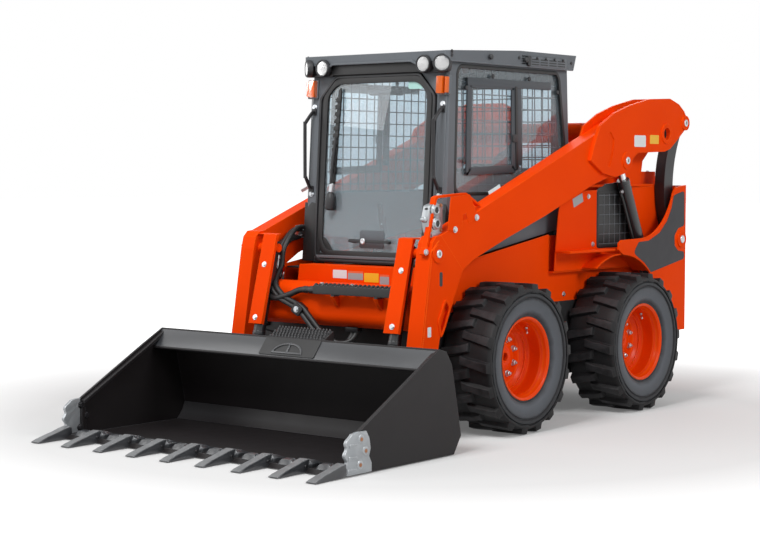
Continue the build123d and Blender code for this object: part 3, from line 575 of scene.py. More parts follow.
class Shape:
    """A closed mesh that is being made, in millimetres of the machine's frame."""

    def __init__(self) -> None:
        """Start an empty mesh."""
        self.mesh = bmesh.new()

    def skin(self, rings: Sequence[Sequence[Point]], looped: bool = False) -> Shape:
        """Add a skin through rings of points, capped at its two ends.

        Args:
            rings: Rings with the same number of points.
            looped: Whether the last ring joins the first, in place of the caps.

        Returns:
            The shape itself.
        """
        made = [[self.mesh.verts.new(p) for p in ring] for ring in rings]
        pairs = list(zip(made, made[1:] + made[:1])) if looped else list(zip(made, made[1:]))
        for near, far in pairs:
            for i in range(len(near)):
                j = (i + 1) % len(near)
                self.mesh.faces.new((near[i], near[j], far[j], far[i]))
        if not looped:
            self.mesh.faces.new(made[0][::-1])
            self.mesh.faces.new(made[-1])
        return self

    def prism(self, outline: Sequence[Point], plane: Plane, low: float, high: float) -> Shape:
        """Add a plate with an outline, between two depths of its plane."""
        return self.skin([[plane.at(u, v, w) for u, v in outline] for w in (low, high)])

    def ring(self, outline: Sequence[Point], width: float, plane: Plane, low: float, high: float) -> Shape:
        """Add a frame that follows an outline, between two depths of its plane.

        Args:
            outline: The frame's outer line.
            width: How far the frame reaches inwards.
            plane: The plane that it is drawn on.
            low: The depth of its back.
            high: The depth of its face.

        Returns:
            The shape itself.
        """
        inner = inset(outline, width)
        lines = [[plane.at(u, v, w) for u, v in line] for line, w in
                 ((outline, low), (outline, high), (inner, high), (inner, low))]
        return self.skin(lines, looped=True)

    def box(self, low: Point, high: Point) -> Shape:
        """Add a block between two corners."""
        return self.prism(rectangle(low[:2], high[:2]), TOP, low[2], high[2])

    def lathe(self, profile: Sequence[Point], centre: Point, axis: Point, sides: int = 32,
              looped: bool = False) -> Shape:
        """Add a turned form.

        Args:
            profile: Pairs of place along the axis and radius.
            centre: Where the axis starts.
            axis: The axis' direction.
            sides: Facets round the axis.
            looped: Whether the profile is a closed loop, as on a ring.

        Returns:
            The shape itself.
        """
        turn = Vector((0, 0, 1)).rotation_difference(Vector(axis))
        rings = []
        for along, radius in profile:
            ring = []
            for i in range(sides):
                angle = 2 * math.pi * i / sides
                spoke = Vector((math.cos(angle) * radius, math.sin(angle) * radius, along))
                ring.append(turn @ spoke + Vector(centre))
            rings.append(ring)
        return self.skin(rings, looped)

    def tube(self, path: Sequence[Point], radius: float, sides: int = 12) -> Shape:
        """Add a round bar or hose along a path.

        Args:
            path: Points of its middle line.
            radius: Its radius.
            sides: Facets round it.

        Returns:
            The shape itself.
        """
        points = [Vector(p) for p in path]
        aim = (points[1] - points[0]).normalized()
        side = aim.orthogonal().normalized()
        rings = []
        for i, point in enumerate(points):
            ahead = points[min(i + 1, len(points) - 1)] - points[max(i - 1, 0)]
            side = ahead.normalized().rotation_difference(aim).inverted() @ side
            aim = ahead.normalized()
            side = (side - aim * side.dot(aim)).normalized()
            other = aim.cross(side)
            turns = [2 * math.pi * k / sides for k in range(sides)]
            rings.append([point + (side * math.cos(turn) + other * math.sin(turn)) * radius
                          for turn in turns])
        return self.skin(rings)

    def both_sides(self) -> Shape:
        """Add a mirror image across the machine's middle.

        Returns:
            The shape itself.
        """
        double = bmesh.ops.duplicate(self.mesh, geom=[*self.mesh.verts, *self.mesh.edges, *self.mesh.faces])
        for item in double["geom"]:
            if isinstance(item, bmesh.types.BMVert):
                item.co.x = -item.co.x
        return self

    def data(self, name: str, bevel: float = 0.0) -> bpy.types.Mesh:
        """Close the shape up and hand it over in metres.

        Args:
            name: The mesh's name.
            bevel: Radius of its edges in millimetres.

        Returns:
            The mesh.
        """
        bmesh.ops.recalc_face_normals(self.mesh, faces=self.mesh.faces)
        if bevel:
            sharp = [edge for edge in self.mesh.edges if edge.calc_face_angle(0) > BEVELLED]
            bmesh.ops.bevel(self.mesh, geom=sharp, offset=bevel, segments=2, profile=0.6,
                            affect="EDGES", clamp_overlap=True)
        bmesh.ops.scale(self.mesh, vec=(MM, MM, MM), verts=self.mesh.verts)
        mesh = bpy.data.meshes.new(name)
        self.mesh.to_mesh(mesh)
        self.mesh.free()
        mesh.shade_smooth()
        mesh.set_sharp_from_angle(angle=SHARP)
        return mesh

    def piece(self, name: str, finish: Finish | Glazing, body: Body | str,
              bevel: float = 0.0) -> bpy.types.Object:
        """Hand the shape over as a finished piece on its body.

        Args:
            name: The piece's name.
            finish: Its finish.
            body: The body that carries it.
            bevel: Radius of its edges in millimetres.

        Returns:
            The piece.
        """
        return hang(name, self.data(name, bevel), finish, body)


def hang(name: str, mesh: bpy.types.Mesh, finish: Finish | Glazing, body: Body | str) -> bpy.types.Object:
    """Make a piece of a mesh, dress it and hang it on its body.

    Args:
        name: The piece's name.
        mesh: Its mesh, in metres.
        finish: Its finish.
        body: The body that carries it.

    Returns:
        The piece.
    """
    piece = bpy.data.objects.new(name, mesh)
    bpy.context.scene.collection.objects.link(piece)
    for face in mesh.polygons:
        face.material_index = 0
    dress(piece, finish)
    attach(piece, body.value if isinstance(body, Body) else body)
    LOG.info("%s: %d faces", name, len(mesh.polygons))
    return piece


def moved(mesh: bpy.types.Mesh, name: str, matrix: Matrix) -> bpy.types.Mesh:
    """A copy of a mesh, moved or mirrored, with its faces still pointing outwards.

    Args:
        mesh: The mesh to copy.
        name: The copy's name.
        matrix: The move, in metres.

    Returns:
        The copy.
    """
    copy = mesh.copy()
    copy.name = name
    copy.transform(matrix)
    if matrix.determinant() < 0:
        copy.flip_normals()
    return copy


def joined(name: str, meshes: Iterable[bpy.types.Mesh]) -> bpy.types.Mesh:
    """One mesh of several, each kept closed.

    Args:
        name: The name of the result.
        meshes: The meshes to put together.

    Returns:
        The joined mesh.
    """
    whole = bmesh.new()
    for mesh in meshes:
        whole.from_mesh(mesh)
    result = bpy.data.meshes.new(name)
    whole.to_mesh(result)
    whole.free()
    result.shade_smooth()
    result.set_sharp_from_angle(angle=SHARP)
    return result


# ---------------------------------------------------------------- repeating trees
def new_tree(name: str, inputs: Sequence[tuple[str, str]]) -> bpy.types.NodeTree:
    """Start a Geometry Nodes tree.

    Args:
        name: The tree's name.
        inputs: Names and socket types of its inputs, after the geometry.

    Returns:
        The tree, with its group input and output nodes.
    """
    tree = bpy.data.node_groups.new(name, "GeometryNodeTree")
    tree.interface.new_socket("Geometry", in_out="INPUT", socket_type="NodeSocketGeometry")
    for label, kind in inputs:
        tree.interface.new_socket(label, in_out="INPUT", socket_type=kind)
    tree.interface.new_socket("Geometry", in_out="OUTPUT", socket_type="NodeSocketGeometry")
    tree.nodes.new("NodeGroupInput").name = "given"
    return tree


def end_tree(tree: bpy.types.NodeTree, instances: bpy.types.NodeSocket) -> bpy.types.NodeTree:
    """Realise the instances, set their finish and close the tree.

    Args:
        tree: The tree.
        instances: The geometry so far.

    Returns:
        The same tree.
    """
    real = add_node(tree, "GeometryNodeRealizeInstances", {0: instances})
    dressed = add_node(tree, "GeometryNodeSetMaterial",
                       {"Geometry": real.outputs[0], "Material": tree.nodes["given"].outputs["Finish"]})
    add_node(tree, "NodeGroupOutput", {0: dressed.outputs[0]})
    return tree


def polar_tree() -> bpy.types.NodeTree:
    """A piece repeated round the X axis: inputs Piece, Count, Phase and Finish.

    Returns:
        The node tree.
    """
    tree = new_tree("polar_array", (("Piece", "NodeSocketObject"), ("Count", "NodeSocketInt"),
                                    ("Phase", "NodeSocketFloat"), ("Finish", "NodeSocketMaterial")))
    given = tree.nodes["given"].outputs
    points = add_node(tree, "GeometryNodeMeshLine", {"Count": given["Count"], "Offset": (0, 0, 0)})
    index = add_node(tree, "GeometryNodeInputIndex")
    step = add_node(tree, "ShaderNodeMath", {0: 2 * math.pi, 1: given["Count"]}, operation="DIVIDE")
    angle = add_node(tree, "ShaderNodeMath", {0: index.outputs[0], 1: step.outputs[0], 2: given["Phase"]},
                     operation="MULTIPLY_ADD")
    turn = add_node(tree, "FunctionNodeAxisAngleToRotation", {"Axis": (1, 0, 0), "Angle": angle.outputs[0]})
    piece = add_node(tree, "GeometryNodeObjectInfo", {"Object": given["Piece"], "As Instance": True})
    placed = add_node(tree, "GeometryNodeInstanceOnPoints",
                      {"Points": points.outputs[0], "Instance": piece.outputs["Geometry"],
                       "Rotation": turn.outputs[0]})
    return end_tree(tree, placed.outputs[0])


def row_tree() -> bpy.types.NodeTree:
    """A piece repeated along a line: inputs Piece, Count, Start, Step and Finish.

    Returns:
        The node tree.
    """
    tree = new_tree("row_array", (("Piece", "NodeSocketObject"), ("Count", "NodeSocketInt"),
                                  ("Start", "NodeSocketVector"), ("Step", "NodeSocketVector"),
                                  ("Finish", "NodeSocketMaterial")))
    given = tree.nodes["given"].outputs
    points = add_node(tree, "GeometryNodeMeshLine",
                      {"Count": given["Count"], "Start Location": given["Start"], "Offset": given["Step"]})
    piece = add_node(tree, "GeometryNodeObjectInfo", {"Object": given["Piece"], "As Instance": True})
    placed = add_node(tree, "GeometryNodeInstanceOnPoints",
                      {"Points": points.outputs[0], "Instance": piece.outputs["Geometry"]})
    return end_tree(tree, placed.outputs[0])


FLANGE_SPREAD, FLANGE_SHARE = 1.35, 0.3             # a bolt's flange: its radius and height over the bolt's


def bolt_tree() -> bpy.types.NodeTree:
    """Flanged hex bolts on points: inputs Radius, Height and Finish, aimed by the points' "aim".

    Returns:
        The node tree.
    """
    tree = new_tree("bolt_field", (("Radius", "NodeSocketFloat"), ("Height", "NodeSocketFloat"),
                                   ("Finish", "NodeSocketMaterial")))
    given = tree.nodes["given"].outputs
    wide = add_node(tree, "ShaderNodeMath", {0: given["Radius"], 1: FLANGE_SPREAD}, operation="MULTIPLY")
    thin = add_node(tree, "ShaderNodeMath", {0: given["Height"], 1: FLANGE_SHARE}, operation="MULTIPLY")
    half = add_node(tree, "ShaderNodeMath", {0: given["Height"], 1: 0.5}, operation="MULTIPLY")
    low = add_node(tree, "ShaderNodeMath", {0: given["Height"], 1: 0.1}, operation="MULTIPLY")
    join = add_node(tree, "GeometryNodeJoinGeometry")
    for sides, radius, depth, lift in ((6, given["Radius"], given["Height"], half.outputs[0]),
                                       (20, wide.outputs[0], thin.outputs[0], low.outputs[0])):
        part = add_node(tree, "GeometryNodeMeshCylinder",
                        {"Vertices": sides, "Radius": radius, "Depth": depth})
        rise = add_node(tree, "ShaderNodeCombineXYZ", {"Z": lift})
        up = add_node(tree, "GeometryNodeTransform",
                      {"Geometry": part.outputs[0], "Translation": rise.outputs[0]})
        tree.links.new(up.outputs[0], join.inputs[0])
    aim = add_node(tree, "GeometryNodeInputNamedAttribute", {"Name": "aim"}, data_type="FLOAT_VECTOR")
    turn = add_node(tree, "FunctionNodeAlignRotationToVector", {"Vector": aim.outputs[0]}, axis="Z")
    placed = add_node(tree, "GeometryNodeInstanceOnPoints",
                      {"Points": given["Geometry"], "Instance": join.outputs[0], "Rotation": turn.outputs[0]})
    return end_tree(tree, placed.outputs[0])


def grown(tree: bpy.types.NodeTree, name: str, base: bpy.types.Mesh, inputs: dict) -> bpy.types.Mesh:
    """Run a tree on a mesh and keep the plain mesh that it gives.

    Args:
        tree: The Geometry Nodes tree.
        name: The result's name.
        base: The mesh that it starts from.
        inputs: Values by input name. A mesh stands for an object that carries it.

    Returns:
        The plain mesh, in metres.
    """
    scene = bpy.context.scene.collection.objects
    helpers = []
    holder = bpy.data.objects.new(name, base)
    modifier = holder.modifiers.new("array", "NODES")
    modifier.node_group = tree
    for item in tree.interface.items_tree:
        if item.in_out == "INPUT" and item.name in inputs:
            value = inputs[item.name]
            if isinstance(value, bpy.types.Mesh):
                value = bpy.data.objects.new(name + "_part", value)
                helpers.append(value)
                scene.link(value)
            modifier[item.identifier] = value
    scene.link(holder)
    graph = bpy.context.evaluated_depsgraph_get()
    result = bpy.data.meshes.new_from_object(holder.evaluated_get(graph), depsgraph=graph)
    result.name = name
    for item in (holder, *helpers):
        bpy.data.objects.remove(item)
    return result


class Arrays:
    """The repeating trees, each built once."""

    def __init__(self) -> None:
        """Build the trees."""
        self.polar = polar_tree()
        self.row = row_tree()
        self.bolt = bolt_tree()

    def round_x(self, name: str, part: bpy.types.Mesh, count: int, phase: float,
                finish: Finish) -> bpy.types.Mesh:
        """A part repeated round the X axis, from a phase in degrees."""
        return grown(self.polar, name, bpy.data.meshes.new(name),
                     {"Piece": part, "Count": count, "Phase": math.radians(phase),
                      "Finish": finish.material()})

    def in_row(self, name: str, part: bpy.types.Mesh, count: int, start: Point, step: Point,
               finish: Finish) -> bpy.types.Mesh:
        """A part repeated along a line, from a start by a step, both in millimetres."""
        return grown(self.row, name, bpy.data.meshes.new(name),
                     {"Piece": part, "Count": count, "Start": [v * MM for v in start],
                      "Step": [v * MM for v in step], "Finish": finish.material()})

    def bolts(self, name: str, places: Sequence[tuple[Point, Point]], radius: float, height: float,
              finish: Finish, body: Body) -> bpy.types.Object:
        """Bolts at places, each with the direction that it faces.

        Args:
            name: The piece's name.
            places: Pairs of place and direction.
            radius: Half width over a head's corners.
            height: A head's height.
            finish: The bolts' finish.
            body: The body that they hold.

        Returns:
            The piece.
        """
        points = bpy.data.meshes.new(name)
        points.from_pydata([[v * MM for v in place] for place, _ in places], [], [])
        aims = points.attributes.new("aim", "FLOAT_VECTOR", "POINT")
        for i, (_, direction) in enumerate(places):
            aims.data[i].vector = direction
        mesh = grown(self.bolt, name, points,
                     {"Radius": radius * MM, "Height": height * MM, "Finish": finish.material()})
        return hang(name, mesh, finish, body)


def facing_left(x: float, *places: Point) -> list[tuple[Point, Point]]:
    """Places for bolts that face left.

    Args:
        x: Where their seats are.
        places: The (y, z) of each.

    Returns:
        A place and a direction for each.
    """
    return [((x, y, z), (1, 0, 0)) for y, z in places]


def both(places: Iterable[tuple[Point, Point]]) -> list[tuple[Point, Point]]:
    """Places and directions together with their mirror images."""
    listed = list(places)
    return listed + [((-p[0], p[1], p[2]), (-d[0], d[1], d[2])) for p, d in listed]


# ---------------------------------------------------------------- wheels
@dataclass
class Wheels:
    """Four wheels: moulded tyres on deep dished rims, with nuts and valves."""

    arrays: Arrays
    radius: float = 408
    lugs: int = 18
    lug_line: tuple = ((150, -25), (90, -9.5), (34, 3), (-22, 14), (-22, 56), (30, 42), (90, 33.5), (150, 24))
    disc_x: float = -26
    nut_circle: float = 101.6
    nuts: int = 8

    def build(self) -> None:
        """Make one wheel and set a copy of it at each corner."""
        casing, rim, bead = self.casing(), self.rim(), self.weld_bead()
        lugs = [self.arrays.round_x(f"lug_row_{row}", self.lug(row), self.lugs, self.lug_phase(row),
                                    TYRES["front"]) for row in (0, 1)]
        nuts = self.arrays.round_x("nut_ring", self.nut(), self.nuts, 22.5, ZINC)
        tyre = joined("tyre_form", [casing, *lugs])
        for end, finish in TYRES.items():
            for side, sign in SIDES.items():
                low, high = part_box(f"rim_{end}_{side}")
                place = Matrix.Translation((low + high) / 2) @ Matrix.Diagonal((sign, 1, 1, 1))
                body = f"wheel_{end}_{side}"
                cover = hang(f"moulded_tyre_{end}_{side}", moved(tyre, "tyre", place), finish, body)
                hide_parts(f"tyre_{end}_{side}")
                steel = hang(f"pressed_rim_{end}_{side}", moved(rim, "rim", place), RIM_ORANGE, body)
                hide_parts(f"rim_{end}_{side}")
                hang(f"rim_weld_{end}_{side}", moved(bead, "bead", place), RIM_ORANGE, body)
                hang(f"wheel_nuts_{end}_{side}", moved(nuts, "nuts", place), ZINC, body)
                hang(f"tyre_valve_{end}_{side}", moved(self.valve(), "valve", place), ZINC, body)

    def lug_phase(self, row: int) -> float:
        """The turn of a row's first lug in degrees, so that the tyre stands on two hooks.

        Args:
            row: 0 for the outer row, 1 for its mirror image.

        Returns:
            The angle from the top.
        """
        step = 360 / self.lugs
        corner = self.radius / math.cos(math.radians(step / 4))
        hook = max(y for _, y in self.lug_line)
        top = math.sqrt(corner ** 2 - hook ** 2)
        return math.degrees(math.atan2(hook, top)) + step / 4 + row * step / 2

    def casing(self) -> bpy.types.Mesh:
        """The tyre's body: bead, side wall that carries the grey band, shoulder ring and tread base.

        Returns:
            The mesh.
        """
        wall = [(117, 215), (124, 222), (128, 232), (126, 238), (136, 246), (143, 262), (149, 284),
                (152, 306), (153, 322), (148, 326), (148, 331), (155, 336), (157, 344), (155, 351),
                (148, 354), (148, 359), (157, 363), (158, 370), (152, 378), (138, 384), (90, 386)]
        profile = [*wall, (0, 389), *[(-x, r) for x, r in reversed(wall)]]
        return Shape().lathe(profile, (0, 0, 0), (1, 0, 0), 96, looped=True).data("casing")

    def lug(self, row: int) -> bpy.types.Mesh:
        """One hooked lug at the top of the tyre, with drafted sides and a foot over the shoulder.

        Args:
            row: 0 for the outer row, 1 for its mirror image.

        Returns:
            The lug's mesh.
        """
        sign = -1 if row else 1
        rings = []
        for grow, crown in ((-9, 0.0), (-6, 0.25), (0, 1.0)):
            ring = []
            for x, y in inset(self.lug_line, grow):
                shoulder = max(0.0, (x - 120) / 40)
                foot = 384 - 26 * shoulder
                reach = foot + (self.radius - 1.5 * shoulder - foot) * crown
                ring.append((sign * min(x, 158.5), y, math.sqrt(reach ** 2 - y ** 2)))
            rings.append(ring)
        return Shape().skin(rings).data("lug", bevel=2.4)

    def rim(self) -> bpy.types.Mesh:
        """The rim: rolled flanges, a stepped barrel and a dished disc with its hub.

        Returns:
            The mesh.
        """
        disc = self.disc_x
        outer = [(119, 214.2), (119, 226), (123, 228), (128, 227), (130, 223), (128, 217), (122, 210),
                 (116, 207.5), (98, 206), (92, 202), (86, 198), (78, 197), (30, 195), (16, 191), (8, 184),
                 (2, 179), (-4, 176), (-10, 168), (-20, 160), (disc, 150), (disc - 1, 126), (disc, 84),
                 (disc + 6, 76), (disc + 16, 73), (disc + 18, 68), (disc + 18, 30), (disc + 16, 24),
                 (disc + 10, 22)]
        back = [(-38, 22), (-38, 150), (-44, 184), (-60, 194), (-112, 204), (-122, 212), (-129, 222),
                (-127, 227), (-119, 227), (-119, 214.2)]
        return Shape().lathe([*outer, *back], (0, 0, 0), (1, 0, 0), 96, looped=True).data("rim")

    def weld_bead(self) -> bpy.types.Mesh:
        """The rippled weld between the rim's barrel and its disc.

        Returns:
            The mesh.
        """
        path = []
        for i in range(145):
            angle = 2 * math.pi * i / 144
            radius = 176 + 1.5 * math.sin(i * 1.7)
            path.append((-1 + math.sin(i * 0.9), radius * math.cos(angle), radius * math.sin(angle)))
        return Shape().tube(path, 4.5, 6).data("weld_bead")

    def nut(self) -> bpy.types.Mesh:
        """A wheel nut with its stud and washer, at the top of the nut circle.

        Returns:
            The mesh.
        """
        shape = Shape()
        face, up = self.disc_x, (0, 0, self.nut_circle)
        shape.lathe([(face, 19), (face + 3, 18), (face + 3, 4)], up, (1, 0, 0), 20)
        shape.lathe([(face + 3, 15), (face + 17, 15), (face + 20, 12)], up, (1, 0, 0), 6)
        shape.lathe([(face + 19, 7), (face + 28, 7), (face + 29, 5)], up, (1, 0, 0), 12)
        return shape.data("nut", bevel=0.8)

    def valve(self) -> bpy.types.Mesh:
        """The valve stem in the barrel of the rim, with its cap.

        Returns:
            The mesh.
        """
        base = (46, 118, 154)
        inward = Vector((0.35, -base[1], -base[2])).normalized()
        profile = [(-4, 9), (6, 9), (8, 5), (24, 5), (25, 6.5), (38, 6.5), (40, 5)]
        return Shape().lathe(profile, base, (0.6, inward.y, inward.z), 14).data("valve", bevel=0.5)


# ---------------------------------------------------------------- cab
@dataclass
class CabFront:
    """Door seal, handles, wiper, lamps, indicators and visor of the cab's front."""

    arrays: Arrays
    handle_x: float = 456
    lamp_z: float = 1995
    lamp_r: float = 41

    def build(self) -> None:
        """Make the front's fittings."""
        self.door_seals()
        self.door_handle()
        self.grab_bars()
        self.wiper()
        self.lamps()
        self.indicators()
        self.posts()
        self.visor()
        self.door_fittings()

    def door_seals(self) -> None:
        """A moulded rubber frame round the door's glass, and a second one where the door shuts."""
        corners = [(-356, 118), (-322, 66), (352, 66), (352, 940), (282, 1002), (-282, 1002), (-352, 940)]
        inner = rounded(corners, 95)
        Shape().ring(inset(inner, -34), 34, DOOR, -4, 11).piece("door_glass_seal", RUBBER_AND_SHADE_BLACK, Body.CHASSIS, 3)
        shut = rounded([(-411, 2), (411, 2), (411, 925), (300, 1048), (-300, 1048), (-411, 925)], 60)
        Shape().ring(shut, 14, DOOR, 0, 15).piece("door_shut_seal", PLASTIC, Body.CHASSIS, 4)
        sill = rectangle((-404, 22), (404, 38))
        Shape().prism(sill, DOOR, 6, 14).piece("door_sill_bar", CAB_GREY, Body.CHASSIS, 2.5)
        corner = [(-370, 52), (-262, 52), (-330, 130), (-370, 150)]
        Shape().prism(rounded(corner, 20), DOOR, 0.5, 5).piece("door_corner_cover", RUBBER_AND_SHADE_BLACK, Body.CHASSIS, 1.5)

    def door_handle(self) -> None:
        """The door's pull bar on its pad, with a round lock."""
        bar = [(-140, 120), (-132, 134), (140, 129), (150, 122), (148, 112), (-134, 114)]
        shape = Shape().prism(rounded(bar, 9), DOOR, 24, 42)
        for x in (-120, 126):
            shape.prism(slab((x - 12, 112), (x + 12, 132), 6), DOOR, 1, 30)
        shape.piece("door_pull_bar", PLASTIC, Body.CHASSIS, 4)
        pad = slab((-86, 84), (88, 184), 14)
        Shape().prism(pad, DOOR, 0.4, 2.4).piece("door_handle_pad", CAB_GREY, Body.CHASSIS, 0.8)
        lock = Shape().lathe([(38, 17), (46, 17), (49, 14), (49, 6), (47, 5)], DOOR.at(-30, 122),
                             DOOR_OUT, 24)
        lock.piece("door_lock", ZINC, Body.CHASSIS, 1)

    def grab_bars(self) -> None:
        """The bent bars beside the door, with their feet and bolts."""
        shape = Shape()
        path = [(-316, 1752), (-332, 1742), (-383, 1690), (-388, 1676), (-388, 1398), (-385, 1386),
                (-352, 1330), (-346, 1318)]
        line = flowing([(self.handle_x, y, z) for y, z in path], 4)
        shape.tube(line, 10, 14).both_sides()
        bars = shape.piece("grab_bars", BLACK, Body.CHASSIS)
        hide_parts("grab_handles")
        feet = Shape()
        bolts = []
        for z in (1755, 1314):
            pad = slab((self.handle_x - 15, z - DOOR_FOOT - 20),
                                    (self.handle_x + 15, z - DOOR_FOOT + 20), 9)
            feet.prism(pad, DOOR, -1, 8)
            lift = 26 if z > 1500 else -26
            bolts.append((tuple(DOOR.at(self.handle_x, z - DOOR_FOOT + lift, 1)), tuple(DOOR_OUT)))
        feet.both_sides().piece("grab_bar_feet", BLACK, Body.CHASSIS, 2)
        self.arrays.bolts("grab_bar_bolts", both(bolts), 12, 12, ZINC, Body.CHASSIS)

    def wiper(self) -> None:
        """Motor pod, arm, joint and long blade at the door's right edge."""
        pod = Shape().lathe([(0, 16), (3, 24), (10, 28), (64, 28), (92, 22), (104, 12)],
                            DOOR.at(-288, 290, 30), DOOR.at(0.02, 1) - DOOR.at(0, 0), 20)
        pod.piece("wiper_motor_pod", PLASTIC, Body.CHASSIS)
        joint = Shape().lathe([(0, 11), (6, 14), (44, 14), (50, 9)], DOOR.at(-284, 392, 32),
                              DOOR.at(0.03, 1) - DOOR.at(0, 0), 16)
        joint.piece("wiper_joint", ZINC, Body.CHASSIS)
        arm = Shape().tube(flowing([DOOR.at(-286, 380, 34), DOOR.at(-283, 470, 38), DOOR.at(-276, 620, 30),
                                    DOOR.at(-271, 700, 24)]), 8, 10)
        arm.piece("wiper_arm", PLASTIC, Body.CHASSIS)
        blade = Shape()
        blade.prism(rounded([(-302, 440), (-274, 440), (-248, 960), (-256, 986), (-270, 960)], 8), DOOR,
                    8, 19)
        blade.prism([(-285, 475), (-279, 475), (-255, 955), (-259, 955)], DOOR, 1, 10)
        for v in range(500, 940, 40):
            x = -286 + (v - 470) * 0.052
            blade.prism(slab((x - 18, v), (x + 18, v + 24), 5), DOOR, 12, 26)
        blade.piece("wiper_blade", RUBBER_AND_SHADE_BLACK, Body.CHASSIS, 1.2)

    def lamp_places(self) -> list[tuple[Vector, Vector]]:
        """Where the lamps sit and where they look: the inner ones ahead, the outer ones outwards.

        Returns:
            A place and a direction for each lamp of the left side.
        """
        turn = math.radians(38)
        inner = (Vector((358, -326, self.lamp_z)), Vector((0, -1, 0)))
        outer = (Vector((462, -322, self.lamp_z + 2)), Vector((math.sin(turn), -math.cos(turn), 0)))
        return [inner, outer]

    def lamps(self) -> None:
        """Round work lamps: black ring, bright bowl and domed lens, in a pod at each corner."""
        rings, bowls, lenses, pods = Shape(), Shape(), Shape(), Shape()
        r = self.lamp_r
        for place, aim in self.lamp_places():
            rings.lathe([(0, r - 2), (0, r + 9), (24, r + 9), (32, r + 5), (32, r), (24, r - 2)], place, aim,
                        40, looped=True)
            bowls.lathe([(4, 8), (8, 22), (18, r - 6), (24, r - 1), (20, r - 1), (2, 12)], place, aim, 32,
                        looped=True)
            bowls.lathe([(2, 7), (20, 8), (24, 5)], place, aim, 16)
            lenses.lathe([(25, r - 1), (28, r - 2), (32, r - 12), (34.5, r - 26), (35, 3), (31, 3),
                          (27, r - 10)], place, aim, 40)
        pod = rounded([(296, 1948), (500, 1948), (506, 2006), (506, 2046), (322, 2046), (300, 2020)], 42)
        pods.prism(pod, FRONT, 284, 314)
        rings.both_sides().piece("lamp_rings", PLASTIC, Body.CHASSIS)
        bowls.both_sides().piece("lamp_reflectors", CHROME, Body.CHASSIS)
        shown = lenses.both_sides().piece("lamp_lenses", LENS, Body.CHASSIS)
        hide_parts("front_lamps")
        pods.both_sides().piece("lamp_pods", PLASTIC, Body.CHASSIS, 5)

    def indicators(self) -> None:
        """Amber lamps below the work lamps, each a front block and a side block on a grey bracket."""
        amber, base = Shape(), Shape()
        amber.prism(slab((433, 930), (474, 1024), 7), DOOR, 12, 42)
        amber.prism(slab((482, 934), (500, 1020), 5), DOOR, 4, 30)
        base.prism(slab((428, 924), (502, 1030), 6), DOOR, -6, 13)
        amber.both_sides().piece("indicator_lenses", AMBER, Body.CHASSIS, 3)
        base.both_sides().piece("indicator_brackets", CAB_GREY, Body.CHASSIS, 2)

    def posts(self) -> None:
        """Black covers round the foot of the front posts, cut at a slant, and the posts' pressed edge."""
        front, side = Shape(), Shape()
        front.prism([(416, 2), (506, 2), (500, 288), (452, 336), (416, 330)], DOOR, -1, 2.5)
        side.prism([(-352, 906), (-296, 914), (-292, 1160), (-334, 1240)], SIDE, 486, 503)
        front.both_sides().piece("post_foot_fronts", RUBBER_AND_SHADE_BLACK, Body.CHASSIS, 1)
        side.both_sides().piece("post_foot_sides", RUBBER_AND_SHADE_BLACK, Body.CHASSIS, 1)
        bead = Shape()
        for x in (424, 478):
            bead.prism([(x - 3, 340), (x + 3, 340), (x + 2, 1000), (x - 2, 1000)], DOOR, -1, 3)
        bead.both_sides().piece("post_pressed_edges", CAB_GREY, Body.CHASSIS, 1.5)

    def visor(self) -> None:
        """The dark recess below the visor, its louvres, the tray under the roof's front and its lip."""
        # The recess is a dark sheet that paints the shade under the visor.
        recess = Shape().prism(rectangle((-320, 1046), (320, 1106)), DOOR, -2, 3)
        recess.piece("visor_recess", RUBBER_AND_SHADE_BLACK, Body.CHASSIS)
        louvre = Shape()
        for z in (1064, 1080):
            louvre.prism(rectangle((-300, z), (292, z + 7)), DOOR, 2, 12)
        louvre.piece("visor_louvres", PLASTIC, Body.CHASSIS, 1.5)
        plane = Plane((0, -318, 1976), (1, 0, 0), (0, 0, 1))
        tray = Shape().prism([(-432, -20), (432, -20), (420, 34), (-420, 34)], plane, -30, 0)
        tray.piece("visor_tray", RUBBER_AND_SHADE_BLACK, Body.CHASSIS, 2)
        lip = [(-330, -2), (-290, 22), (262, 22), (318, -2), (322, 6), (268, 32), (-296, 32), (-338, 6)]
        plane = Plane((0, -338, 1988), (1, 0, 0), (0, 0, 1))
        Shape().prism(lip, plane, -4, 6).piece("visor_lip", CAB_GREY, Body.CHASSIS, 2)

    def door_fittings(self) -> None:
        """The rolled blind and the tinted strip at the top of the door's glass."""
        roll = Shape().lathe([(0, 8), (3, 15), (26, 17), (180, 17), (200, 20), (226, 20), (232, 10)],
                             DOOR.at(-78, 952, -30), (1, 0, 0), 18)
        roll.piece("rolled_blind", PLASTIC, Body.CHASSIS)
        strip = slab((214, 962), (318, 1006), 16)
        Shape().prism(strip, DOOR, 0.3, 1.1).piece("tinted_strip", GREEN_FILM, Body.CHASSIS)


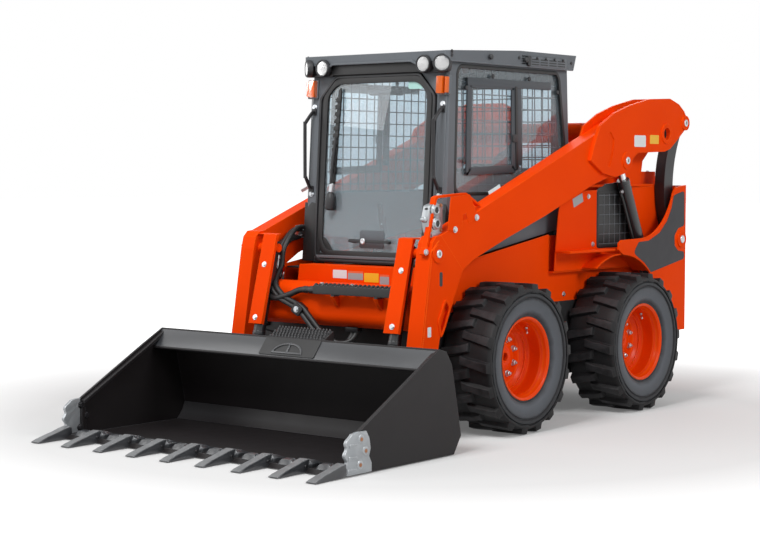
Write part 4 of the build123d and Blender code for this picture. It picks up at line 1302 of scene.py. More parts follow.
@dataclass
class CabSides:
    """Seals, sliding windows, fixings and mesh screens of the cab's sides and back."""

    arrays: Arrays
    glass_x: float = 484
    datum: float = 1600
    lean: float = 20 / 1105
    window: tuple = ((-252, 1290), (-212, 1960), (-180, 1992), (772, 1992), (800, 1955),
                     (846, 1600), (846, 1290))
    mesh_pitch: float = 68
    bar_r: float = 3.6

    def plane(self, x: float) -> Plane:
        """The leaning plane of the cab's side, drawn as (y, z - datum), at an x at that height."""
        norm = math.hypot(1, self.lean)
        return Plane((x, 0, self.datum), (0, 1, 0), (-self.lean / norm, 0, 1 / norm))

    def build(self) -> None:
        """Make the fittings of both sides."""
        self.seals()
        self.sliding_window()
        self.fixings()
        self.screens()
        self.roof()

    def seals(self) -> None:
        """A fat rubber seal round each side window, and one round the rear window."""
        line = rounded([(y, z - self.datum) for y, z in self.window], 60)
        shape = Shape().ring(inset(line, -6), 20, self.plane(self.glass_x - 8), 0, 16)
        shape.both_sides().piece("side_window_seals", RUBBER_AND_SHADE_BLACK, Body.CHASSIS, 3)
        rear = slab((-396, 1414), (396, 1936), 40)
        Shape().ring(rear, 22, FRONT, -906, -868).piece("rear_window_seal", RUBBER_AND_SHADE_BLACK, Body.CHASSIS, 3)

    def sliding_window(self) -> None:
        """The sliding pane's frame and its track, with a latch."""
        plane = self.plane(self.glass_x + 1)
        shape = Shape()
        shape.ring(rounded([(-140, -207), (340, -190), (352, 318), (-116, 318)], 24), 44, plane, -4, 6)
        shape.prism(slab((-118, 286), (700, 330), 8), plane, -4, 8)
        shape.prism(slab((358, -150), (402, 300), 8), plane, -4, 5)
        shape.both_sides().piece("sliding_window_frames", WINDOW_GREY, Body.CHASSIS, 2)
        strip = Shape().prism(slab((334, -176), (356, 296), 8), plane, 5, 11)
        strip.both_sides().piece("sliding_window_grips", RUBBER_AND_SHADE_BLACK, Body.CHASSIS, 2)
        latch = Shape().prism(slab((300, -20), (346, 24), 9), plane, 4, 16)
        latch.both_sides().piece("window_latches", PLASTIC, Body.CHASSIS, 3)

    def fixings(self) -> None:
        """Round black fixings of the side glass, and the roof's black knobs."""
        plane = self.plane(self.glass_x)
        shape = Shape()
        for y, z in ((-125, 1872), (127, 1943), (486, 1943), (778, 1877), (-159, 1475)):
            shape.lathe([(0, 13), (6, 13), (9, 9), (9, 3)], plane.at(y, z - self.datum), (1, 0, 0), 20)
        for y, z in ((52, 2046), (394, 2046)):
            shape.lathe([(0, 9), (6, 9), (8, 15), (20, 15), (23, 10)], (508, y, z), (1, 0, 0), 20)
        shape.both_sides().piece("glass_fixings", PLASTIC, Body.CHASSIS, 1)

    def screens(self) -> None:
        """Welded mesh inside the side windows and the rear window."""
        side = Plane((452, 0, self.datum), (0, 1, 0), (-self.lean, 0, 1))
        meshes = [self.grid("side_mesh", side, (-196, -330), (800, 384)),
                  self.grid("side_mesh_right", mirrored(side), (-800, -330), (196, 384)),
                  self.grid("rear_mesh", Plane((0, 850, 1680), (1, 0, 0), (0, 0, 1)),
                            (-400, -250), (400, 240))]
        hang("mesh_screens", joined("mesh_screens", meshes), WINDOW_GREY, Body.CHASSIS)
        posts = Shape()
        for x in (-462, 428):
            posts.box((x, 826, 905), (x + 34, 860, 1990))
        posts.piece("screen_posts", WINDOW_GREY, Body.CHASSIS, 4)

    def grid(self, name: str, plane: Plane, low: Point, high: Point) -> bpy.types.Mesh:
        """Crossed round bars that fill a rectangle of a plane.

        Args:
            name: The mesh's name.
            plane: The plane that the screen lies in.
            low: Its low corner.
            high: Its high corner.

        Returns:
            The screen's mesh.
        """
        wide, tall = high[0] - low[0], high[1] - low[1]
        upright = Shape().tube([(0, 0, 0), (0, tall, 0)], self.bar_r, 6).data("upright")
        level = Shape().tube([(0, 0, 6), (wide, 0, 6)], self.bar_r, 6).data("level")
        columns, rows = int(wide / self.mesh_pitch) + 1, int(tall / self.mesh_pitch) + 1
        parts = [self.arrays.in_row(name, upright, columns, (low[0], low[1], 0), (wide / (columns - 1), 0, 0),
                                    WINDOW_GREY),
                 self.arrays.in_row(name, level, rows, (low[0], low[1], 0),
                                    (0, tall / (rows - 1), 0), WINDOW_GREY)]
        move = plane.matrix()
        move.translation = move.translation * MM
        return moved(joined(name, parts), name, move)

    def roof(self) -> None:
        """Drip rails along the roof, and the screws of its cover."""
        rail = Shape().prism([(-300, 2006), (900, 2006), (904, 2014), (-304, 2014)], SIDE, 500, 512)
        rail.both_sides().piece("drip_rails", CAB_GREY, Body.CHASSIS, 2)
        self.intake()
        screws = facing_left(510, (-296, 2040), (-296, 2060), (340, 2056), (880, 2050))
        self.arrays.bolts("roof_screws", both(screws), 8, 5, BLACK, Body.CHASSIS)

    def intake(self) -> None:
        """The air intake's cover on the roof's side: four columns of slots, with pegs over them."""
        cover = Shape().prism(slab((448, 2014), (826, 2070), 6), SIDE, 508, 514)
        cover.both_sides().piece("intake_covers", CAB_GREY, Body.CHASSIS, 2)
        slots, pegs = Shape(), Shape()
        for column in range(4):
            y = 462 + column * 90
            for row in range(3):
                # Each slot is a dark strip that paints the shade inside it.
                slots.prism(slab((y, 2022 + row * 14), (y + 76, 2028 + row * 14), 3), SIDE,
                            513, 515)
            pegs.lathe([(0, 7), (8, 7), (10, 4)], (513, y + 52, 2062), (1, 0, 0), 14)
        slots.both_sides().piece("intake_slots", RUBBER_AND_SHADE_BLACK, Body.CHASSIS)
        pegs.both_sides().piece("intake_pegs", BLACK, Body.CHASSIS, 1)
        block = Shape().prism(rounded([(412, 2018), (442, 2010), (446, 2072), (420, 2072)], 8), SIDE,
                              508, 524)
        block.both_sides().piece("intake_catches", PLASTIC, Body.CHASSIS, 3)


@dataclass
class Interior:
    """The seat's cushions and the control levers."""

    arrays: Arrays
    voxel_mm: float = 6.0
    cap_mm: float = 12.0
    pressure: float = 4.0
    frames: int = 20
    smoothing: int = 6

    def build(self) -> None:
        """Make what shows through the glass."""
        self.seat()
        self.levers()

    def pad(self, name: str, outline: Sequence[Point], plane: Plane, thickness: float) -> bpy.types.Object:
        """A stuffed pad: a plate remeshed fine, inflated as cloth and smoothed.

        Args:
            name: The pad's name.
            outline: Its outline on the plane.
            plane: The plane of its back.
            thickness: How thick it is before it is filled.

        Returns:
            The pad.
        """
        pad = Shape().prism(rounded(outline, 50), plane, 0, thickness).piece(name, VINYL, Body.CHASSIS, 14)
        modifiers = pad.modifiers
        remesh = modifiers.new("remesh", "REMESH")
        remesh.mode = "VOXEL"
        remesh.voxel_size = self.voxel_mm * MM
        self.settle(pad)
        rest = [v.co.copy() for v in pad.data.vertices]
        cloth = modifiers.new("cloth", "CLOTH")
        cloth.settings.use_pressure = True
        cloth.settings.uniform_pressure_force = self.pressure
        cloth.settings.effector_weights.gravity = 0.0
        for frame in range(1, self.frames + 1):
            bpy.context.scene.frame_set(frame)
        self.settle(pad)
        bpy.context.scene.frame_set(1)
        for vertex, start in zip(pad.data.vertices, rest):
            move = vertex.co - start
            if move.length > self.cap_mm * MM:
                vertex.co = start + move.normalized() * self.cap_mm * MM
        smooth = modifiers.new("smooth", "SMOOTH")
        smooth.iterations = self.smoothing
        modifiers.new("subdivision", "SUBSURF").levels = 1
        self.settle(pad)
        seam = [plane.at(x, y, thickness * 0.5) for x, y in rounded(inset(outline, -7), 50)]
        Shape().tube([*seam, *seam[:2]], 5, 8).piece(f"{name}_piping", RUBBER_AND_SHADE_BLACK, Body.CHASSIS)
        for share in (-0.3, 0.3):
            low, high = (min(p[1] for p in outline) + 60, max(p[1] for p in outline) - 60)
            wide = max(p[0] for p in outline) * 2
            line = flowing([plane.at(wide * share, low + (high - low) * t, thickness + 7)
                            for t in (0, 0.5, 1)])
            Shape().tube(line, 4, 8).piece(f"{name}_seam_{'left' if share > 0 else 'right'}",
                                           RUBBER_AND_SHADE_BLACK, Body.CHASSIS)
        pad.data.shade_smooth()
        return pad

    def settle(self, pad: bpy.types.Object) -> None:
        """Bake the modifiers of a pad into its mesh.

        Args:
            pad: The pad.
        """
        graph = bpy.context.evaluated_depsgraph_get()
        mesh = bpy.data.meshes.new_from_object(pad.evaluated_get(graph), depsgraph=graph)
        pad.modifiers.clear()
        pad.data = mesh
        dress(pad, VINYL)

    def seat(self) -> None:
        """A high-backed seat on its box: cushion, back rest and shell."""
        lean = math.atan2(65, 500)
        back = Plane((0, 770, 950), (1, 0, 0), (0, math.sin(lean), math.cos(lean)))
        base = self.pad("seat_cushion", rectangle((-222, 362), (222, 742)),
                        Plane((0, 0, 846), (1, 0, 0), (0, 1, 0)), 86)
        self.pad("seat_back", [(-212, 20), (212, 20), (222, 330), (160, 500), (-160, 500), (-222, 330)],
                 back, 76)
        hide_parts("seat")
        shell = Shape().prism(rounded([(-226, 10), (226, 10), (232, 360), (170, 512), (-170, 512),
                                       (-232, 360)], 40), back, -14, 10)
        shell.prism(slab((-228, 350), (228, 806), 30), TOP, 820, 848)
        shell.box((-190, 380, 809), (190, 780, 824))
        shell.piece("seat_shell", PLASTIC, Body.CHASSIS, 5)

    def levers(self) -> None:
        """Control levers with moulded grips and rubber boots, one on each console."""
        boots, stems, grips = Shape(), Shape(), Shape()
        boots.lathe([(0, 30), (8, 30), (16, 20), (24, 24), (32, 15), (40, 17), (52, 9)], (330, 168, 1008),
                    (0, 0, 1), 20)
        stems.tube(flowing([(330, 168, 1050), (328, 160, 1090), (330, 150, 1120)]), 7, 10)
        grips.lathe([(0, 12), (10, 17), (40, 19), (80, 17), (104, 20), (118, 15), (122, 5)], (330, 152, 1112),
                    (0, -0.16, 1), 20)
        boots.both_sides().piece("lever_boots", RUBBER_AND_SHADE_BLACK, Body.CHASSIS)
        stems.both_sides().piece("lever_stems", ZINC, Body.CHASSIS)
        grips.both_sides().piece("lever_grips", PLASTIC, Body.CHASSIS)


# ---------------------------------------------------------------- boom
@dataclass(frozen=True)
class Cylinder:
    """The left one of a pair of cylinders, with its ends as (y, z)."""

    name: str
    body: Body
    base: Point
    eye: Point
    x: float
    radius: float
    length: float

    def at(self, distance: float) -> Vector:
        """The point at a distance from the base towards the eye."""
        way = (Vector(self.eye) - Vector(self.base)).normalized()
        return Vector((self.x, self.base[0] + way.x * distance, self.base[1] + way.y * distance))

    def way(self) -> Vector:
        """The direction from the base to the eye."""
        return self.at(1) - self.at(0)


@dataclass
class BoomFittings:
    """Pins, guard bolts, hydraulic couplings, hoses, weld seams and blank labels of the boom."""

    arrays: Arrays
    outer_x: float = 670
    hump_x: float = 690
    boom_pin: tuple = (1920, 1719)
    tilt: Cylinder = Cylinder("tilt", Body.TILT_BARRELS, (-628, 989), (-789, 374), 480, 34, 500)
    lift: Cylinder = Cylinder("lift", Body.LIFT_BARRELS, (1635, 650), (1220, 1481), 629, 38, 800)
    hose_r: float = 12

    def build(self) -> None:
        """Make the boom's fittings."""
        self.pins()
        self.bolts()
        self.coupling_block()
        self.leg_details()
        self.cylinder_details()
        self.step()
        self.hoses()
        self.labels()

    def pins(self) -> None:
        """Bright pin ends with their lock slots, set in the bosses."""
        ends, slots = Shape(), Shape()
        for (y, z), x in ((self.boom_pin, 698), (self.lift.eye, 698), (self.tilt.base, 678)):
            ends.lathe([(-4, 22), (3, 22), (5, 19), (5, 3)], (x, y, z), (1, 0, 0), 28)
            # The lock slots are dark plates that paint the shade inside each slot.
            slots.prism(rounded([(y - 4, z - 10), (y + 4, z - 10), (y + 4, z + 10), (y - 4, z + 10)], 4),
                        SIDE, x + 4, x + 6)
        ends.both_sides().piece("boom_pin_ends", ZINC, Body.BOOM, 1)
        slots.both_sides().piece("boom_pin_slots", RUBBER_AND_SHADE_BLACK, Body.BOOM)

    def bolts(self) -> None:
        """Bolts of the guard plate and the tilt covers, and the hoop's foot."""
        guard = facing_left(674, (-485, 1112), (-292, 1172)) + facing_left(650, (-704, 1000))
        self.arrays.bolts("guard_bolts", guard, 13, 9, ZINC, Body.BOOM)
        slant = Vector((0, -0.967, 0.256)).normalized()
        places = []
        for t in (0.34, 0.93):
            y, z = -656 - 130 * t, 1066 - 491 * t
            places.append(((self.tilt.x + 4, y, z), tuple(slant)))
        self.arrays.bolts("cover_bolts", both(places), 12, 9, ZINC, Body.BOOM)
        tab = Shape().prism(rounded([(-724, 984), (-688, 984), (-676, 1022), (-700, 1030)], 12), SIDE,
                            616, 652)
        tab.piece("hoop_foot", ORANGE, Body.BOOM, 3)

    def coupling_block(self) -> None:
        """The cast block with its two flat-faced couplings, under the hoop."""
        block = Shape()
        block.prism(rounded([(-664, 1092), (-560, 1092), (-548, 1128), (-548, 1232), (-600, 1256),
                             (-660, 1240), (-678, 1180)], 16), SIDE, 598, 640)
        block.prism(slab((-646, 1070), (-562, 1104), 6), SIDE, 592, 646)
        block.piece("coupling_block", SILVER, Body.BOOM, 4)
        rings = Shape()
        couplings = ((-622, 1216), (-614, 1146))
        for y, z in couplings:
            rings.lathe([(0, 33), (10, 33), (12, 27), (16, 27), (20, 24), (22, 18), (16, 15), (16, 4)],
                        (638, y, z), (1, 0, 0), 28)
            rings.lathe([(0, 25), (26, 25), (30, 20), (44, 20), (46, 14), (46, 4)], (622, y + 6, z),
                        (0, -1, 0), 24)
        rings.lathe([(0, 17), (22, 17), (24, 12), (40, 9), (44, 4)], (622, -668, 1168), (0, -1, 0), 20)
        rings.piece("quick_couplings", SILVER, Body.BOOM, 1)
        # Dark discs and rings that paint the shade in the couplings' bores and round their faces.
        bores = Shape()
        for y, z in couplings:
            bores.lathe([(0, 15), (6, 15), (7, 3)], (652, y, z), (1, 0, 0), 20)
            bores.lathe([(0, 13), (4, 13), (5, 3)], (622, y - 40, z), (0, -1, 0), 20)
            bores.lathe([(0, 34), (3, 34), (3, 30)], (640, y, z), (1, 0, 0), 28)
        bores.piece("coupling_bores", RUBBER_AND_SHADE_BLACK, Body.BOOM)
        bolts = facing_left(640, (-566, 1240), (-566, 1112), (-652, 1112))
        self.arrays.bolts("coupling_bolts", bolts, 8, 7, COPPER, Body.BOOM)

    def leg_details(self) -> None:
        """Weld seam, lifting slot and tie-down recess of each leg."""
        bead = Shape().lathe([(-3, 2), (-2, 4), (0, 5), (2, 4), (3, 2)], (0, 0, 0), (1, 0, 0), 8).data("bead")
        seams = []
        for sign in SIDES.values():
            seams.append(self.arrays.in_row("seam", bead, 46, (sign * self.outer_x, -682, 960),
                                            (0, -1.66, -10), ORANGE))
            seams.append(self.arrays.in_row("seam", bead, 40, (sign * self.outer_x, -684, 1000),
                                            (0, 1.6, 1.4), ORANGE))
        hang("leg_weld_seams", joined("leg_weld_seams", seams), ORANGE, Body.BOOM)
        skin = self.outer_x - 2
        # The lifting slot is a dark plate that paints the shade inside it.
        slots = Shape().prism(slab((-614, 818), (-588, 894), 13), SIDE, skin, skin + 2.6)
        slots.both_sides().piece("leg_slots", RUBBER_AND_SHADE_BLACK, Body.BOOM)
        recess = rounded([(-566, 762), (-518, 704), (-572, 594), (-608, 540), (-632, 640)], 36)
        rims = Shape().ring(recess, 13, SIDE, skin, skin + 9)
        rims.both_sides().piece("tie_down_rims", ORANGE, Body.BOOM, 4)

    def cylinder_details(self) -> None:
        """Gland rings of the cylinders, and the lift cylinders' ports with the pipes between them."""
        for cylinder in (self.tilt, self.lift):
            radius = cylinder.radius
            ring = [(0, radius + 0.2), (2, radius + 2), (22, radius + 2), (24, radius + 0.2)]
            glands = Shape().lathe(ring, cylinder.at(cylinder.length - 26), cylinder.way(), 28)
            glands.both_sides().piece(f"{cylinder.name}_gland_rings", BARREL_GREY, cylinder.body, 0.8)
        lift, way = self.lift, self.lift.way()
        out = Vector((0, -way.z, way.y))
        ports = Shape()
        for distance in (70, lift.length - 60):
            foot = lift.at(distance) + out * (lift.radius - 3)
            ports.lathe([(0, 12), (12, 12), (13, 9), (22, 9), (23, 4)], foot, out, 12)
        run = ((70, 16), (96, 20), (140, 14), (lift.length - 140, 14), (lift.length - 84, 20),
               (lift.length - 60, 16))
        pipe = flowing([lift.at(distance) + out * (lift.radius + rise) for distance, rise in run], 5)
        Shape().tube(pipe, 9, 12).both_sides().piece("lift_hoses", RUBBER_AND_SHADE_BLACK, lift.body)
        ports.both_sides().piece("lift_ports", ZINC, lift.body)

    def step(self) -> None:
        """Serrated treads, face plate, gussets and nuts of the step on the cross drum."""
        tooth = Shape().lathe([(0, 11), (7, 11), (13, 6), (13, 3)], (0, 0, 0), (0, 0, 1), 10).data("tooth")
        rows = [self.arrays.in_row("treads", tooth, 18, (-100, y, 797), (30, 0, 0), FRAME_BLACK)
                for y in (-704, -654)]
        hang("step_teeth", joined("step_teeth", rows), FRAME_BLACK, Body.BOOM)
        face = Shape().prism(rounded([(-116, 752), (424, 752), (428, 774), (424, 799), (-116, 799)], 10),
                             FRONT, 706, 716)
        face.piece("step_face", FRAME_BLACK, Body.BOOM, 3)
        gussets = Shape()
        for x in (-2, 298):
            gussets.prism([(-708, 742), (-650, 742), (-650, 680), (-668, 690)], SIDE, x, x + 24)
        gussets.piece("step_gussets", ORANGE, Body.BOOM, 2)
        nuts = [((x, -660, 800), (0, 0, 1)) for x in (-94, 118, 406)]
        self.arrays.bolts("step_nuts", nuts, 11, 12, ZINC, Body.BOOM)

    def hoses(self) -> None:
        """Hoses clamped along the right arm and round the cross drum, between steel fittings."""
        run = [(-540, -330, 1084), (-536, -400, 1080), (-530, -470, 1035), (-526, -530, 960),
               (-522, -548, 880), (-505, -600, 826), (-455, -672, 772), (-380, -690, 716), (-310, -686, 684),
               (-250, -682, 656), (-190, -686, 606), (-130, -686, 548), (-70, -676, 500), (-10, -655, 474),
               (42, -622, 486), (62, -592, 530), (64, -588, 566)]
        hoses = Shape()
        for dx, dy, dz in ((0, 0, 0), (30, 2, 14)):
            hoses.tube(flowing([(x + dx, y + dy, z + dz) for x, y, z in run], 6), self.hose_r + 2, 14)
        cross = [(-548, -380, 1046), (-548, -470, 1000), (-545, -524, 930), (-540, -552, 850),
                 (-528, -600, 800), (-490, -668, 742), (-420, -692, 716), (-330, -688, 732),
                 (-250, -682, 762), (-205, -680, 770)]
        hoses.tube(flowing(cross, 6), 17, 14)
        for dx, dy in ((14, 12), (-10, -16)):
            drop = [(-556 + dx, -350 + dy, 1040), (-556 + dx, -440 + dy, 1020), (-552 + dx, -500 + dy, 960),
                    (-548 + dx, -520 + dy, 880), (-544 + dx, -530 + dy, 830), (-540 + dx, -545 + dy, 815)]
            hoses.tube(flowing(drop, 6), self.hose_r, 12)
        hoses.piece("clamped_hoses", RUBBER_AND_SHADE_BLACK, Body.BOOM)
        fittings = Shape()
        fittings.prism(rounded([(-356, 1034), (-296, 1034), (-290, 1100), (-340, 1108)], 8), SIDE, -575, -536)
        for y, z in ((-330, 1084), (-350, 1050)):
            fittings.lathe([(0, 15), (20, 15), (22, 11), (40, 11)], (-546, y + 34, z), (0, -1, 0), 6)
        fittings.lathe([(0, 10), (6, 14), (22, 14), (24, 9), (96, 9), (98, 14), (116, 14), (120, 8)],
                       (-512, -560, 826), (0, 0.05, 1), 12)
        fittings.piece("hose_fittings", ZINC, Body.BOOM, 1)
        clips = Shape()
        clips.lathe([(0, 20), (26, 20), (28, 17), (44, 17), (46, 22), (94, 22)], (-208, -680, 770),
                    (1, 0, 0), 12)
        clips.prism(rounded([(-290, 650), (-236, 620), (-200, 664), (-256, 700)], 10), FRONT, 650, 704)
        clips.prism(slab((30, 548), (112, 572), 5), FRONT, 566, 612)
        clips.piece("hose_clips", BLACK, Body.BOOM, 3)
        self.arrays.bolts("clip_bolts", [((-246, -704, 660), (0, -1, 0))], 13, 9, ZINC, Body.BOOM)

    def labels(self) -> None:
        """Blank stickers on the arm, the leg and the hump."""
        white, yellow = Shape(), Shape()
        arm, hump = (self.outer_x - 1, self.outer_x + 0.8), (self.hump_x - 1, self.hump_x + 0.8)
        white.prism(rounded([(-172, 1292), (-66, 1330), (-74, 1348), (-182, 1308)], 4), SIDE, *arm)
        white.prism(slab((-716, 560), (-686, 612), 4), SIDE, *arm)
        white.prism(slab((1306, 1564), (1440, 1634), 10), SIDE, *hump)
        yellow.prism(slab((1490, 1584), (1596, 1638), 5), SIDE, *hump)
        white.both_sides().piece("blank_white_labels", WHITE_FILM, Body.BOOM)
        yellow.both_sides().piece("blank_yellow_labels", YELLOW_FILM, Body.BOOM)


# ---------------------------------------------------------------- body
@dataclass
class BodyFittings:
    """Film, blank labels, bolts, screens, latch, grip and mounts of the machine's body."""

    arrays: Arrays
    tower_x: float = 700
    film: tuple = ((1771, 1268), (1905, 1296), (1908, 1076), (1832, 1062), (1786, 1020), (1786, 956),
                   (1832, 920), (1908, 914), (1908, 868), (1500, 800), (1420, 862), (1290, 925), (1350, 990),
                   (1470, 995), (1600, 1040), (1690, 1110), (1745, 1190))

    def build(self) -> None:
        """Make the body's fittings."""
        self.tower()
        self.front_labels()
        self.skins()
        self.rear()
        self.under_cab()

    def tower(self) -> None:
        """Blank dark film on the tower plates, with their pins and boss plates."""
        film = Shape().prism(rounded(self.film, 26), SIDE, self.tower_x - 1, self.tower_x + 0.8)
        film.both_sides().piece("tower_film", DARK_FILM, Body.CHASSIS)
        pins = Shape().lathe([(-2, 24), (4, 24), (7, 20), (7, 4)], (710, 1865, 992), (1, 0, 0), 28)
        pins.both_sides().piece("tower_pin_ends", ZINC, Body.CHASSIS, 1)
        patch = rounded([(1908, 1072), (1836, 1056), (1790, 1016), (1790, 960), (1836, 924), (1908, 918)], 20)
        plates = Shape().prism(patch, SIDE, 699, 702).both_sides()
        plates.piece("tower_boss_plates", ORANGE, Body.CHASSIS, 1.5)

    def front_labels(self) -> None:
        """Blank stickers and bolts on the front panel."""
        rows = (("blank_front_label_white", WHITE_FILM, -162, -62, 826, 872),
                ("blank_front_label_grey", GREY_FILM, -54, 54, 822, 858),
                ("blank_front_label_yellow", YELLOW_FILM, 62, 164, 812, 862),
                ("blank_front_label_tall", GREY_FILM, 172, 236, 780, 846))
        for name, finish, x0, x1, z0, z1 in rows:
            label = Shape().prism(slab((x0, z0), (x1, z1), 4), FRONT, 489, 491)
            label.piece(name, finish, Body.CHASSIS)
        heads = Shape()
        for x0, x1, z in ((-54, 54, 858), (172, 236, 846)):
            heads.prism(rectangle((x0, z), (x1, z + 11)), FRONT, 489, 491)
        heads.piece("blank_label_headers", RED_FILM, Body.CHASSIS)
        bolts = [((x, -490, 779), (0, -1, 0)) for x in (-252, -84, 148)]
        self.arrays.bolts("front_panel_bolts", bolts, 12, 10, ZINC, Body.CHASSIS)

    def skins(self) -> None:
        """Side bolts, the skins' lips and blank labels, and the intake screens with their frames."""
        sides = facing_left(545, (-372, 800), (760, 700)) + facing_left(586, (960, 1268), (1010, 985))
        self.arrays.bolts("side_bolts", both(sides), 11, 8, ZINC, Body.CHASSIS)
        lip = Shape().prism(slab((970, 1324), (1906, 1338), 4), SIDE, 582, 585.5)
        lip.both_sides().piece("skin_lips", ORANGE, Body.CHASSIS, 1)
        label = Shape().prism([(785, 1255), (890, 1290), (903, 1240), (800, 1205)], SIDE, 585, 587)
        label.both_sides().piece("blank_side_labels", GREY_FILM, Body.CHASSIS)
        # Dark sheets behind the intake screens paint the shade of the bay behind them.
        back = rounded([(1052, 958), (1456, 958), (1456, 1330), (1300, 1352), (1150, 1340), (1052, 1306)], 24)
        Shape().prism(back, SIDE, 580, 586.6).both_sides().piece("screen_backings", RUBBER_AND_SHADE_BLACK, Body.CHASSIS)
        upright = Shape().tube([(0, 0, 0), (0, 0, 310)], 2, 6).data("upright")
        level = Shape().tube([(0, 0, 0), (0, 380, 0)], 2, 6).data("level")
        bars = [self.arrays.in_row("bars", part, count, (sign * 587, *start), step, CAB_GREY)
                for sign in SIDES.values()
                for part, count, start, step in ((upright, 7, (1072, 972), (0, 61, 0)),
                                                 (level, 6, (1064, 984), (0, 0, 58)))]
        hang("intake_grids", joined("intake_grids", bars), CAB_GREY, Body.CHASSIS)
        frame = slab((1058, 965), (1450, 1300), 20)
        frames = Shape().ring(frame, 18, SIDE, 584, 589).both_sides()
        frames.piece("screen_frames", FRAME_BLACK, Body.CHASSIS, 2)

    def rear(self) -> None:
        """The rear door's latch, and the hood's grip and screws."""
        latch = Shape().prism(slab((400, 820), (478, 980), 16), FRONT, -1963, -1953)
        latch.piece("rear_door_latch", PLASTIC, Body.REAR_DOOR, 3)
        grip = Shape().tube(flowing([(-60, 1880, 1412), (-60, 1880, 1428), (-40, 1880, 1440),
                                     (40, 1880, 1440), (60, 1880, 1428), (60, 1880, 1412)]), 6, 10)
        grip.piece("hood_grip", BLACK, Body.HOOD)
        screws = [((x, y, 1415), (0, 0, 1)) for x in (-470, 470) for y in (980, 1400, 1840)]
        self.arrays.bolts("hood_screws", screws, 9, 6, ZINC, Body.HOOD)

    def under_cab(self) -> None:
        """The rubber mounts below the cab's floor."""
        mounts = Shape()
        for x in (-430, 430):
            for y in (-300, 820):
                mounts.lathe([(0, 34), (6, 36), (24, 30), (30, 34), (36, 34)], (x, y, 880), (0, 0, 1), 20)
        mounts.piece("cab_mounts", RUBBER_AND_SHADE_BLACK, Body.CHASSIS)


